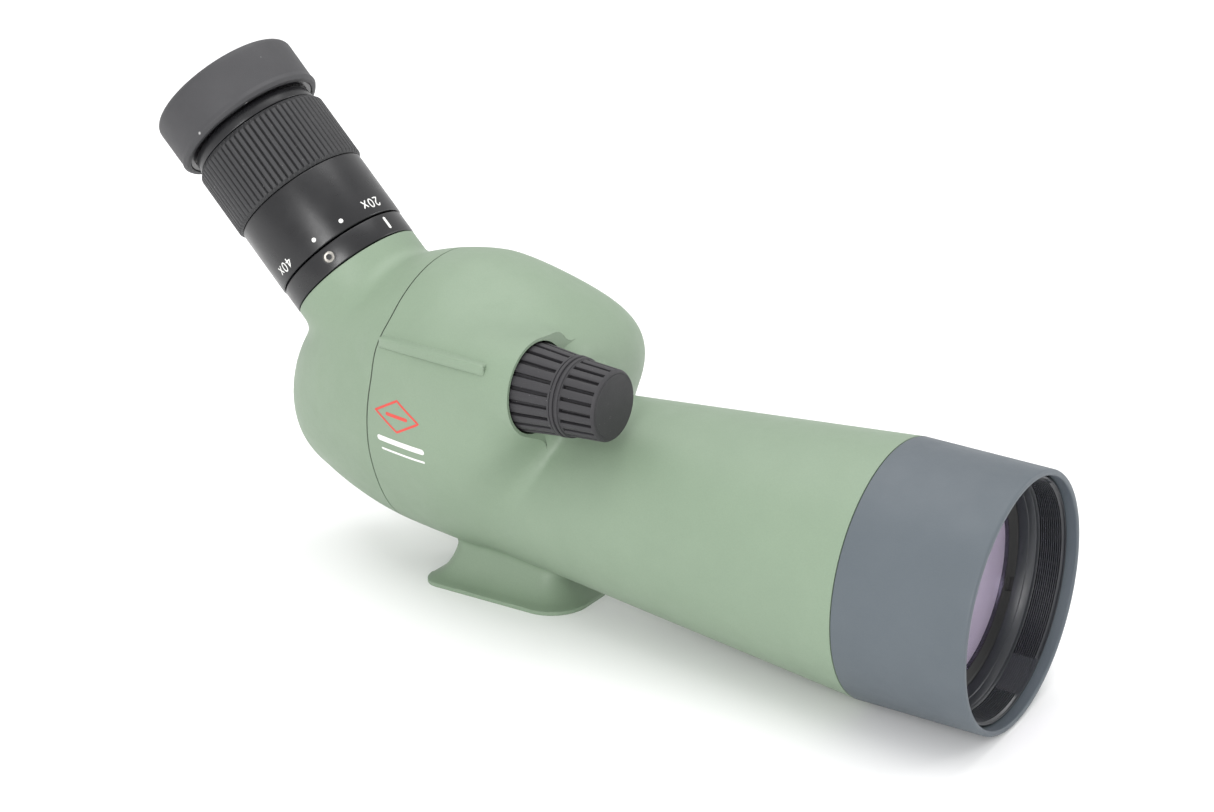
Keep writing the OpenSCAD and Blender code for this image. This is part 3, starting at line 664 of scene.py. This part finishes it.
def rib_bar():
    """The sighting rib: a straight bar with eased edges, standing a little proud of the body's side."""
    start_x, end_x, start_z, end_z = PARTING_X + 2.6, 12.8, 70.0, 71.6
    half_h, depth, proud, ease = 1.4, 4.0, 1.0, 0.5
    section = filleted([(0, -half_h, ease), (0, half_h, ease), (depth, half_h, 0), (depth, -half_h, 0)], 5)
    knots = np.array([side_of_body(start_x + (end_x - start_x) * f, start_z + (end_z - start_z) * f)
                      for f in np.linspace(0, 1, 9)])
    outer = np.poly1d(np.polyfit(np.linspace(0, 1, 9), knots, 2))
    stations = [(0.0, 0.5), (0.004, 0.22), (0.015, 0.0), *[(f, 0.0) for f in np.linspace(0.05, 0.97, 24)],
                (0.985, 0.0), (0.996, 0.22), (1.0, 0.5)]
    verts = []
    for share, shrink in stations:
        rise = start_z + (end_z - start_z) * share + 2.0 * share * (1 - share)
        centre = np.array([start_x + (end_x - start_x) * share, outer(share) - proud, rise])
        for inward, up in section:
            height = np.clip(up, shrink - half_h, half_h - shrink)
            verts.append(centre + np.array([0, max(inward, shrink), height]))
    count = len(section)
    faces = []
    for i in range(len(stations) - 1):
        a, b = i * count, (i + 1) * count
        faces += [(a + j, a + (j + 1) % count, b + (j + 1) % count, b + j) for j in range(count)]
    faces += [tuple(range(count)), tuple((len(stations) - 1) * count + j for j in range(count))[::-1]]
    return verts, faces


BUSH_R, BUSH_DEPTH = 6.05, 11.5      # seat of the tripod bush in the foot
GAP = 0.2                            # half of the line between the two shells
PARTING_LEAN = 0.1                   # how far the line leans forwards, for each unit of height
PARTING_POINT = np.array([PARTING_X, 0, 52.0])
PARTING_NORMAL = np.array([1, 0, -PARTING_LEAN]) / math.hypot(1, PARTING_LEAN)
SEAM_HALF, SEAM_INSET, SEAM_FLOOR = 0.4, 0.3, 2.5


def seam_filler():
    """A dark band just under the surface where the two shells meet."""
    across = np.array([0.0, 1.0, 0.0])
    rising = np.cross(PARTING_NORMAL, across)
    angles = np.linspace(0, 2 * math.pi, 240, endpoint=False)
    direction = np.cos(angles)[:, None] * rising + np.sin(angles)[:, None] * across
    reach = np.arange(15, 48, 0.05)
    p = PARTING_POINT + direction[:, None] * reach[None, :, None]
    inside = faired_field(p[..., 0], p[..., 1], p[..., 2]) < 0
    edge = reach[np.argmin(inside, 1)]
    verts, faces = [], []
    for offset, inset in ((-SEAM_HALF, SEAM_FLOOR), (-SEAM_HALF, SEAM_INSET),
                          (SEAM_HALF, SEAM_INSET), (SEAM_HALF, SEAM_FLOOR)):
        verts += list(PARTING_POINT + direction * (edge - inset)[:, None] + PARTING_NORMAL * offset)
    count = len(angles)
    for row in range(4):
        a, b = row * count, (row + 1) % 4 * count
        faces += [(a + i, a + (i + 1) % count, b + (i + 1) % count, b + i) for i in range(count)]
    return verts, faces


pocket = turned_mesh(KNOB, [(POCKET_R, POCKET_FLOOR_X), (POCKET_R, 60)], TURN)
channel = turned_mesh(KNOB, [(CHANNEL_R, FAIRING_X - 6), (CHANNEL_R, FAIRING_X + 27)], TURN)
below = turned_mesh(UPRIGHT, [(90, -8), (90, 0.0)], 4)
bush_seat = turned_mesh(UPRIGHT, [(BUSH_R, -10), (BUSH_R, BUSH_DEPTH)], 64)
rim = (FAIRING_X, 0, 0)
behind_rim = sliced(carved(solid_of(faired_field), [pocket, below, bush_seat]), rim, (1, 0, 0), 0)
ahead_of_rim = sliced(carved(solid_of(body_field), [channel, below]), rim, (-1, 0, 0), 0)
front_mesh = sliced(joined([behind_rim, ahead_of_rim]), (TUBE_FRONT_X, 0, 0), (1, 0, 0), 2.2)
front_mesh = sliced(front_mesh, PARTING_POINT + PARTING_NORMAL * GAP, -PARTING_NORMAL, 0.4)
rear_mesh = sliced(behind_rim, PARTING_POINT - PARTING_NORMAL * GAP, PARTING_NORMAL, 0.4)
rear_mesh = sliced(rear_mesh, EYE, EYE_DIR, 2.8)
finish_object("body_front", front_mesh, GREEN, "scope", "green_paint", ["front_housing"], 50)
finish_object("body_rim", rim_face(), GREEN, "scope", "green_paint", ["front_housing"], 50)
finish_mesh("seam_line", *seam_filler(), SEAL, "scope", "seal_rubber", ["cover_seal"])
finish_mesh("sighting_rib", *rib_bar(), GREEN, "scope", "green_paint", ["front_housing"], 35)
finish_object("body_rear", rear_mesh, GREEN, "scope", "green_paint", ["rear_cover"], 50)

# ---------------------------------------------------------------- focus knob
KNOB_GROOVES = 20
GROOVE_HALF_MM = 0.5
GROOVE_DEPTH = 1.2
GRIP_BAND_X = 31.0
GROOVE_SPANS = [(FAIRING_X - 4.0, GRIP_BAND_X - 0.8), (GRIP_BAND_X + 2.4, KNOB_TIP_X - 1.0)]


def fluted_angles(count, half_width, radius, between):
    """Angles round a fluted piece: two at each side of every groove, and some on the land between."""
    pitch = 2 * math.pi / count
    edge = half_width / radius
    soft = 0.14 / radius
    places = [-edge - soft, -edge, -edge * 0.9, 0, edge * 0.9, edge, edge + soft]
    places += list(np.linspace(edge + soft, pitch - edge - soft, between + 2)[1:-1])
    return np.concatenate([np.array(places) + i * pitch for i in range(count)])


def knob_shape(angle, r, t):
    pitch = 2 * math.pi / KNOB_GROOVES
    off = np.abs((angle + pitch / 2) % pitch - pitch / 2) * 10.0
    across = np.clip((GROOVE_HALF_MM - off) / 0.06, 0, 1)
    along = np.zeros_like(t)
    for x0, x1 in GROOVE_SPANS:
        along = np.maximum(along, np.clip(np.minimum(t - x0, x1 - t) / 0.05, 0, 1))
    crown = 0.18 * (1 - np.clip((off - GROOVE_HALF_MM) / 0.35, 0, 1)) * (along > 0)
    return r - GROOVE_DEPTH * across * along - crown, t


def dense(profile, step):
    """The profile with long straight runs cut into shorter ones."""
    out = [profile[0]]
    for p in profile[1:]:
        parts = max(1, int(np.ceil(np.linalg.norm(p - out[-1]) / step)))
        start = out[-1]
        out += [start + (p - start) * (k + 1) / parts for k in range(parts)]
    return np.array(out)


def knob_profile():
    rim = filleted([
        (8.65, POCKET_FLOOR_X + 0.8, 0), (11.0, POCKET_FLOOR_X + 0.8, 0.5), (10.9, FAIRING_X, 0),
        (9.82, GRIP_BAND_X - 0.35, 0.2), (9.55, GRIP_BAND_X - 0.3, 0.1), (9.6, GRIP_BAND_X - 0.05, 0.1),
        (10.0, GRIP_BAND_X, 0.2), (9.92, GRIP_BAND_X + 0.75, 0.25), (9.4, GRIP_BAND_X + 0.8, 0.15),
        (9.35, GRIP_BAND_X + 1.25, 0.15), (9.85, GRIP_BAND_X + 1.3, 0.25), (9.75, GRIP_BAND_X + 2.0, 0.2),
        (9.35, GRIP_BAND_X + 2.1, 0.1), (8.75, KNOB_TIP_X - 0.9, 0.5), (8.3, KNOB_TIP_X - 0.3, 0.3),
        (7.75, KNOB_TIP_X - 0.2, 0.15), (7.6, KNOB_TIP_X - 0.9, 0)], 4)
    rows = dense(rim, 1.0)
    marks = []
    for x0, x1 in GROOVE_SPANS:
        marks += [x0, x0 + 0.05, x1 - 0.05, x1]
    extra = []
    for i in range(len(rows) - 1):
        a, b = rows[i], rows[i + 1]
        extra.append(a)
        if a[1] < b[1] and b[0] > 8:
            for m in marks:
                if a[1] + 1e-4 < m < b[1] - 1e-4:
                    extra.append(a + (b - a) * (m - a[1]) / (b[1] - a[1]))
    extra.append(rows[-1])
    return np.array(extra)


turned("knob_sleeve", KNOB, knob_profile(), KNOB_RUBBER, "focus_knob", "knob_rubber", ["knob_grip"],
       angles=fluted_angles(KNOB_GROOVES, GROOVE_HALF_MM, 10.0, 4), shape=knob_shape, closed=False)
turned("knob_end", KNOB, filleted([
    (0.01, KNOB_TIP_X - 1.0, 0), (7.75, KNOB_TIP_X - 1.0, 0), (7.75, KNOB_TIP_X - 0.12, 0.15),
    (0.01, KNOB_TIP_X, 0)]),
    KNOB_RUBBER, "focus_knob", "knob_rubber", ["knob_cap"])

# ---------------------------------------------------------------- hood and objective
LIP_DEPTH = 2.6
hood_lip = filleted([
    (29.4, TUBE_FRONT_X + 0.15, 0), (TUBE_FRONT_R, TUBE_FRONT_X + 0.15, 0.25),
    (HOOD_R, HOOD_FRONT_X, 0.95), (HOOD_INNER_R, HOOD_FRONT_X, 0.5),
    (HOOD_INNER_R, HOOD_FRONT_X - LIP_DEPTH, 0)], 8)
turned("hood_sleeve", OPTICAL, dense(hood_lip, 4), HOOD_RUBBER, "scope", "hood_rubber", ["hood"])

CELL_FRONT_X = HOOD_FRONT_X - LIP_DEPTH
CELL_STEP_X, RING_FRONT_X = 129.4, 125.2
CELL_R, SHADE_R, SEAT_R = 29.2, 28.3, 26.2
SHADE_GROOVES, GROOVE_CUT = 11, 0.75
SHADE_PITCH = (CELL_FRONT_X - 0.9 - CELL_STEP_X) / SHADE_GROOVES
PLAIN_PATCHES = [(math.radians(a), math.radians(w)) for a, w in ((-154, 12), (-34, 4), (86, 12))]
PATCH_EASE = 0.02


def shade_profile():
    rows = [(CELL_R, RING_FRONT_X - 4), (CELL_R, CELL_FRONT_X - 0.3), (28.9, CELL_FRONT_X),
            (SHADE_R + 0.1, CELL_FRONT_X), (SHADE_R, CELL_FRONT_X - 0.1)]
    for i in range(SHADE_GROOVES - 1, -1, -1):
        rows += [(SHADE_R, CELL_STEP_X + (i + f) * SHADE_PITCH) for f in (0.95, 0.8, 0.72, 0.33, 0.25, 0.1)]
    rows += [(SHADE_R, CELL_STEP_X), (27.9, CELL_STEP_X - 0.3), (27.5, CELL_STEP_X - 0.35),
             (27.3, CELL_STEP_X - 0.6), (26.9, 127.4), (26.7, 127.3),
             (SEAT_R, RING_FRONT_X + 0.5), (SEAT_R, RING_FRONT_X - 4)]
    return np.array(rows)


def in_sectors(angle, sectors, ease):
    """One inside the (centre, half width) sectors and nothing outside, eased at their edges."""
    share = np.zeros_like(angle)
    for centre, half in sectors:
        off = np.abs((angle - centre + math.pi) % (2 * math.pi) - math.pi)
        share = np.maximum(share, np.clip((half - off) / ease, 0, 1))
    return share


def sector_angles(sectors, ease):
    """Even angles round a piece, with the edges of the sectors added."""
    edges = [c + side * (h - inner) for c, h in sectors for side in (-1, 1) for inner in (0, ease)]
    even = np.arange(TURN) * 2 * math.pi / TURN
    return np.unique(np.round(np.concatenate([even, np.array(edges) % (2 * math.pi)]), 5))


def shade_shape(angle, r, t):
    share = ((t - CELL_STEP_X) / SHADE_PITCH) % 1
    cut = (share > 0.3) & (share < 0.75) & (np.abs(r - SHADE_R) < 1e-6) & (t > CELL_STEP_X)
    plain = in_sectors(angle, PLAIN_PATCHES, PATCH_EASE)
    return r + GROOVE_CUT * cut * (1 - plain) + 0.1 * plain * cut, t


turned("light_shade", OPTICAL, shade_profile(), CELL_BLACK, "scope", "black_anodised", ["objective_cell"],
       shape=shade_shape, angles=sector_angles(PLAIN_PATCHES, PATCH_EASE))
turned("cell_body", OPTICAL, [
    (24.0, 94), (28.2, 94), (28.2, 106.4), (CELL_R, 107.4), (CELL_R, RING_FRONT_X - 4),
    (SEAT_R, RING_FRONT_X - 4), (SEAT_R, 101), (24.0, 101)],
    CELL_BLACK, "scope", "black_anodised", ["objective_cell"])

NOTCHES = [(math.radians(a), 0.07) for a in (70, 250)]
NOTCH_EASE, NOTCH_DEPTH = 0.004, 1.0


def notched(angle, r, t):
    front = (t > RING_FRONT_X - 0.8) & (r < 26.0)
    return r, t - NOTCH_DEPTH * in_sectors(angle, NOTCHES, NOTCH_EASE) * front


turned("lens_ring", OPTICAL, filleted([
    (23.5, 118.8, 0), (26.1, 118.8, 0), (26.1, RING_FRONT_X, 0.2), (25.7, RING_FRONT_X, 0.1),
    (25.4, RING_FRONT_X - 0.3, 0.1), (23.9, RING_FRONT_X - 1.0, 0.15), (23.5, RING_FRONT_X - 1.2, 0.1)], 3),
    SEAL, "scope", "black_anodised", ["objective_retaining_ring"], shape=notched,
    angles=sector_angles(NOTCHES, NOTCH_EASE))


def sagitta(ball_r, r):
    """How far a sphere falls away from its pole at radius r; a negative ball_r is a hollow face."""
    return ball_r - math.copysign(math.sqrt(ball_r ** 2 - r * r), ball_r)


def lens_profile(radius, front_r, front_x, back_r, back_x, rows=14):
    """Half section of a lens between two spheres, whose edges are at front_x and back_x."""
    radii = [max(radius * k / rows, 0.01) for k in range(rows + 1)]
    back = [(r, back_x + sagitta(back_r, r) - sagitta(back_r, radius)) for r in radii]
    front = [(r, front_x + sagitta(front_r, radius) - sagitta(front_r, r)) for r in radii[::-1]]
    return np.array(back + front)


LENS_EDGE_X = 123.7
LENS_PROFILE = lens_profile(23.48, 95.0, LENS_EDGE_X, -100.0, LENS_EDGE_X - 0.7)
turned("front_glass", OPTICAL, LENS_PROFILE, FRONT_GLASS, "scope", "optical_glass", ["front_objective_lens"],
       smooth_angle=30)
# An opaque domed face behind the front glass: its pale mauve base colour is a painted reflection, while the
# dome's coat reflects the lamps.
FACE_R, FACE_FRONT_X, FACE_BACK_X = 23.4, LENS_EDGE_X - 0.8, LENS_EDGE_X - 3
DOME_R, DOME_BALL_R = 11.0, 26.0
dome = [(max(r, 0.01), FACE_FRONT_X + sagitta(DOME_BALL_R, DOME_R) - sagitta(DOME_BALL_R, r))
        for r in np.linspace(DOME_R, 0, 12)]
turned("inner_lens_face_painted_reflection", OPTICAL,
       [(0.01, FACE_BACK_X), (FACE_R, FACE_BACK_X), (FACE_R, FACE_FRONT_X), *dome],
       LENS_REFLECTION_PAINT, "scope", "optical_glass", ["front_objective_lens"], smooth_angle=12)

# ---------------------------------------------------------------- eyepiece
BASE_TOP, ZOOM_BOTTOM, ZOOM_TOP, GRIP_TOP = 6.5, 6.85, 25.7, 45.5
BASE_R, ZOOM_R, GRIP_R, SLEEVE_R, CUP_R = 18.4, 18.65, 19.3, 17.8, 20.9
CUP_BOTTOM, CUP_TOP = 49.0, 63.2
SCREW_ANGLE, SCREW_T = math.radians(58.1), 3.6


def eye_point(angle, r, t):
    """Point of the eyepiece; angle runs from its upper side towards the observer's right."""
    return EYE + EYE_DIR * t + (EYE_UP * math.cos(angle) + EYE_RIGHT * math.sin(angle)) * r


turned("base_ring", EYEPIECE, filleted([
    (15.4, -14, 0), (15.4, 0.3, 0), (BASE_R, 0.3, 0.35), (BASE_R, BASE_TOP, 0.35), (14.2, BASE_TOP, 0),
    (14.2, -14, 0)], 4),
    ANODISED, "scope", "black_anodised", ["eyepiece_base_ring"])
turned("zoom_barrel", EYEPIECE, filleted([
    (15.6, ZOOM_BOTTOM, 0), (ZOOM_R, ZOOM_BOTTOM, 0.35), (ZOOM_R, ZOOM_TOP, 0.4), (17.2, ZOOM_TOP, 0),
    (17.2, 44.9, 0), (15.6, 44.9, 0)], 4), ANODISED, "zoom_ring", "black_anodised", ["zoom_ring"])

ZOOM_RIBS = 72
VALLEY_HALF, VALLEY_DEPTH = 0.24, 0.62         # share of the pitch, and mm


def ribbed(angle, r, t):
    pitch = 2 * math.pi / ZOOM_RIBS
    share = (angle / pitch) % 1
    valley = np.clip(1 - np.abs(share - 0.5) / VALLEY_HALF, 0, 1)
    valley = valley * valley * (3 - 2 * valley)
    ends = np.clip(np.minimum(t - (ZOOM_TOP + 0.45), GRIP_TOP - 0.5 - t) / 0.7, 0, 1)
    outer = r > 18.0
    return r - VALLEY_DEPTH * valley * ends * outer, t


across_rib = np.array([0, 0.24, 0.3, 0.36, 0.43, 0.5, 0.57, 0.64, 0.7, 0.76])     # shares of a rib's pitch
rib_angles = np.concatenate([(i + across_rib) * 2 * math.pi / ZOOM_RIBS for i in range(ZOOM_RIBS)])
turned("zoom_sleeve", EYEPIECE, dense(filleted([
    (17.25, ZOOM_TOP + 0.15, 0), (18.5, ZOOM_TOP + 0.15, 0.15), (GRIP_R, ZOOM_TOP + 0.95, 0.4),
    (GRIP_R, GRIP_TOP - 1.4, 0.5), (18.3, GRIP_TOP - 0.1, 0.3), (17.25, GRIP_TOP - 0.1, 0)], 3), 1.6),
    GRIP_RUBBER, "zoom_ring", "grip_rubber", ["zoom_grip"], shape=ribbed, angles=rib_angles)
turned("eye_neck", EYEPIECE, filleted([
    (14.3, GRIP_TOP + 0.15, 0), (SLEEVE_R + 0.3, GRIP_TOP + 0.15, 0.3), (SLEEVE_R, 48.8, 0.25),
    (16.6, 48.8, 0.1), (16.6, 58, 0.4), (13.4, 58, 0.2), (13.4, 52, 0), (12, 52, 0), (12, 47.6, 0),
    (14.3, 47.6, 0)], 4),
    ANODISED, "scope", "black_anodised", ["eye_sleeve"])
turned("soft_cup", EYEPIECE, dense(filleted([
    (19.05, CUP_BOTTOM + 0.3, 0), (19.3, CUP_BOTTOM, 0.25), (20.4, CUP_BOTTOM + 0.1, 0.5),
    (CUP_R + 0.15, CUP_BOTTOM + 1.0, 0.6), (CUP_R - 0.1, CUP_BOTTOM + 2.2, 1.2), (CUP_R, CUP_TOP, 2.2),
    (16.6, CUP_TOP, 1.1), (16.6, 61.1, 0), (19.05, 61.1, 0)], 7), 3),
    CUP_RUBBER, "eyecup", "eyecup_rubber", ["eyecup_rubber"])

screw_out = math.cos(SCREW_ANGLE) * EYE_UP + math.sin(SCREW_ANGLE) * EYE_RIGHT
SCREW = axis_frame(eye_point(SCREW_ANGLE, BASE_R, SCREW_T), screw_out, EYE_DIR)
SOCKET_R = 0.7
screw_angles = np.arange(48) * math.pi / 24


def hex_socket(angle, r, t):
    flat = SOCKET_R / np.cos((angle + math.pi / 6) % (math.pi / 3) - math.pi / 6)
    return np.where(np.abs(r - SOCKET_R) < 1e-6, flat, r), t


turned("locking_screw", SCREW, [
    (0.01, -0.3), (0.62, -0.32), (SOCKET_R, -0.02), (0.78, 0.05), (1.3, 0.1), (1.5, -0.05), (1.5, -2.5),
    (0.01, -2.5)], SCREW_STEEL, "scope", "bare_steel", ["base_set_screw"], shape=hex_socket,
    angles=screw_angles, smooth_angle=25)
turned("screw_recess", SCREW,
       filleted([(1.56, -1.2, 0), (1.56, -0.02, 0), (1.9, -0.02, 0.05), (1.9, -1.2, 0)], 3), BLACK_PLATE,
       "scope", "black_anodised", ["eyepiece_base_ring"], angles=screw_angles)

# ---------------------------------------------------------------- printed marks
def bend(v, half_w, half_h, start, end, count):
    """A round stroke of a figure, about the middle of its width at height v."""
    return [(0.5 + half_w * math.sin(a), v + half_h * math.cos(a)) for a in np.linspace(start, end, count)]


# Strokes of each figure, one wide and 1.6 high
STROKES = {
    "0": [bend(0.8, 0.42, 0.72, 0, 2 * math.pi, 21)],
    "2": [bend(1.1, 0.4, 0.42, -1.3, 2.1, 12) + [(0.1, 0.08), (0.95, 0.08)]],
    "4": [[(0.72, 0.05), (0.72, 1.52), (0.05, 0.5), (1.0, 0.5)]],
    "x": [[(0.08, 0.1), (0.85, 1.2)], [(0.85, 0.1), (0.08, 1.2)]],
}


def ribbon(points, width, place, verts, faces, steps=3):
    """A stroke of even width with rounded ends, laid on a surface by place(u, v)."""
    line = [np.array(points[0], float)]
    for p in points[1:]:
        start, end = line[-1], np.array(p, float)
        line += [start + (end - start) * (k + 1) / steps for k in range(steps)]
    line = np.array(line)
    slope = np.gradient(line, axis=0)
    slope /= np.linalg.norm(slope, axis=1, keepdims=True)
    across = np.stack([-slope[:, 1], slope[:, 0]], 1) * width / 2
    first = len(verts)
    for p, d in zip(line, across):
        verts += [place(*(p + d)), place(*(p - d))]
    faces += [(k, k + 1, k + 3, k + 2) for k in range(first, first + 2 * len(line) - 2, 2)]
    for end in (line[0], line[-1]):
        disc(end, width / 2, place, verts, faces)


def disc(centre, radius, place, verts, faces, sides=18):
    first = len(verts)
    verts.append(place(*centre))
    for a in np.arange(sides) * 2 * math.pi / sides:
        verts.append(place(centre[0] + radius * math.cos(a), centre[1] + radius * math.sin(a)))
    faces += [(first, first + 1 + k, first + 1 + (k + 1) % sides) for k in range(sides)]


def on_ring(centre_deg, t, r):
    """Places (along the ring, up) millimetres on a ring; up points back towards the body."""
    def place(u, v):
        return eye_point(math.radians(centre_deg) + u / r, r + 0.025, t - v)
    return place


def mark(name, build, body, slot, material, replaced):
    verts, faces = [], []
    build(verts, faces)
    outward(finish_mesh(name, verts, faces, material, body, slot, replaced))


FIGURE_H, FIGURE_STROKE = 2.7, 0.36


def number(text, centre_deg, t):
    unit = FIGURE_H / 1.6
    advance = 1.35 * unit

    def build(verts, faces):
        place = on_ring(centre_deg, t, ZOOM_R)
        for i, glyph in enumerate(text):
            shift = (i - (len(text) - 1) / 2) * advance - 0.5 * unit
            for stroke in STROKES[glyph]:
                points = [(u * unit + shift, (v - 0.8) * unit) for u, v in stroke]
                ribbon(points, FIGURE_STROKE, place, verts, faces)
    return build


def dots(verts, faces):
    for degrees in (33.5, 59.8):
        disc((0, 0), 0.6, on_ring(degrees, 9.5, ZOOM_R), verts, faces)


def index_bar(verts, faces):
    ribbon([(0, -1.35), (0, 1.35)], 0.9, on_ring(-1.8, 3.6, BASE_R), verts, faces)


POWERS = (("low_power_mark", "20x", 0.7, 10.1), ("high_power_mark", "40x", 97.4, 9.7))
for name, text, centre_deg, t in POWERS:
    mark(name, number(text, centre_deg, t), "zoom_ring", "black_anodised", WHITE_MARK, ["zoom_ring"])
mark("zoom_dots", dots, "zoom_ring", "black_anodised", WHITE_MARK, ["zoom_ring"])
mark("zoom_index", index_bar, "scope", "black_anodised", WHITE_MARK, ["eyepiece_base_ring"])

MARK_X, MARK_Z = -15.5, 46.0


def on_side(u, v):
    """Places (forwards, up) millimetres on the right-hand side of the body."""
    x, z = MARK_X + u, MARK_Z + v
    return np.array([x, side_of_body(x, z) - 0.03, z])


def diamond(verts, faces):
    corners = [(-7.6, 7.3), (0, 11.4), (7.6, 7.3), (0, 3.2), (-7.6, 7.3)]
    ribbon(corners, 0.6, on_side, verts, faces, 12)
    ribbon([(-3.4, 7.3), (3.4, 7.3)], 0.9, on_side, verts, faces, 12)


def bars(verts, faces):
    ribbon([(-6.8, 0), (8.2, 0)], 1.5, on_side, verts, faces, 24)
    ribbon([(-6.2, -2.9), (8.4, -2.9)], 0.6, on_side, verts, faces, 24)


mark("side_diamond", diamond, "scope", "green_paint", RED_MARK, ["front_housing"])
mark("side_bars", bars, "scope", "green_paint", WHITE_MARK, ["front_housing"])

# ---------------------------------------------------------------- materials on carried-over nodes
NODE_MATERIALS = {
    CELL_BLACK: ["lens_spacer", "light_baffles"],
    BLACK_PLATE: ["prism_bracket", "knob_core", "prism_carriage"],
    ANODISED: ["inner_barrel", "field_stop", "eye_lens_ring", "front_zoom_cell", "rear_zoom_cell",
               "eyecup_guide_ring", "eyecup_core"],
    SEAL: ["cover_seal", "objective_seal", "eyepiece_seal"],
    GLASS: ["rear_objective_lens", "eye_lens", "front_zoom_lens", "rear_zoom_lens"],
    PRISM_GLASS: ["deflection_prism", "erecting_prism"],
    STEEL: ["cover_screws", "bracket_screws", "guide_rods", "focus_shaft", "shaft_clip", "prism_clip",
            "tripod_bush"],
    BRASS: ["knob_bush", "focus_nut", "cam_sleeve"],
}
for material, names in NODE_MATERIALS.items():
    for node_name in names:
        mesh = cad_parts[node_name].data
        mesh.materials.clear()
        mesh.materials.append(material)

# ---------------------------------------------------------------- floor, light and camera


def floor():
    mesh = bpy.data.meshes.new("floor")
    half = 4.0
    corners = [(-half, -half, 0), (half, -half, 0), (half, half, 0), (-half, half, 0)]
    mesh.from_pydata(corners, [], [(0, 1, 2, 3)])
    obj = bpy.data.objects.new("floor", mesh)
    bpy.context.scene.collection.objects.link(obj)
    m = Nodes("floor_white")
    m.set(Base_Color=(0.92, 0.92, 0.92, 1))
    m.set(Roughness=0.8)
    m.set(Specular_IOR_Level=0.1)
    mesh.materials.append(m.material)


def area_light(name, place, target, size, power, colour=(1, 1, 1)):
    data = bpy.data.lights.new(name, "AREA")
    data.shape = "RECTANGLE"
    data.size, data.size_y = size
    data.energy = power
    data.color = colour
    obj = bpy.data.objects.new(name, data)
    bpy.context.scene.collection.objects.link(obj)
    obj.location = place
    obj.rotation_euler = (Vector(target) - Vector(place)).to_track_quat("-Z", "Y").to_euler()


def studio():
    world = bpy.data.worlds.new("studio")
    bpy.context.scene.world = world
    world.use_nodes = True
    world.node_tree.nodes["Background"].inputs["Color"].default_value = (1, 1, 1, 1)
    world.node_tree.nodes["Background"].inputs["Strength"].default_value = 0.95
    area_light("overhead", (-0.15, 0.1, 1.2), (0.02, 0, 0.05), (1.3, 1.0), 8.5)
    area_light("left_front", (0.45, -1.2, 0.55), (-0.03, 0, 0.08), (0.4, 0.8), 9.5)
    area_light("right_rear", (0.95, 0.95, 0.55), (0.08, 0, 0.04), (0.45, 0.5), 4.0)
    bpy.context.scene.view_settings.view_transform = "Standard"
    bpy.context.scene.view_settings.look = "None"


def camera():
    data = bpy.data.cameras.new("camera")
    data.sensor_width = 36.0
    data.lens = 63.26
    data.clip_start, data.clip_end = 0.02, 20
    obj = bpy.data.objects.new("camera", data)
    bpy.context.scene.collection.objects.link(obj)
    right = Vector((0.82513, 0.56491, -0.00528))
    up = Vector((-0.20519, 0.30839, 0.92887))
    back = right.cross(up)
    obj.matrix_world = Matrix((
        (right.x, up.x, back.x, 0.30401), (right.y, up.y, back.y, -0.40573),
        (right.z, up.z, back.z, 0.25058), (0, 0, 0, 1)))
    bpy.context.scene.camera = obj


floor()
studio()
camera()
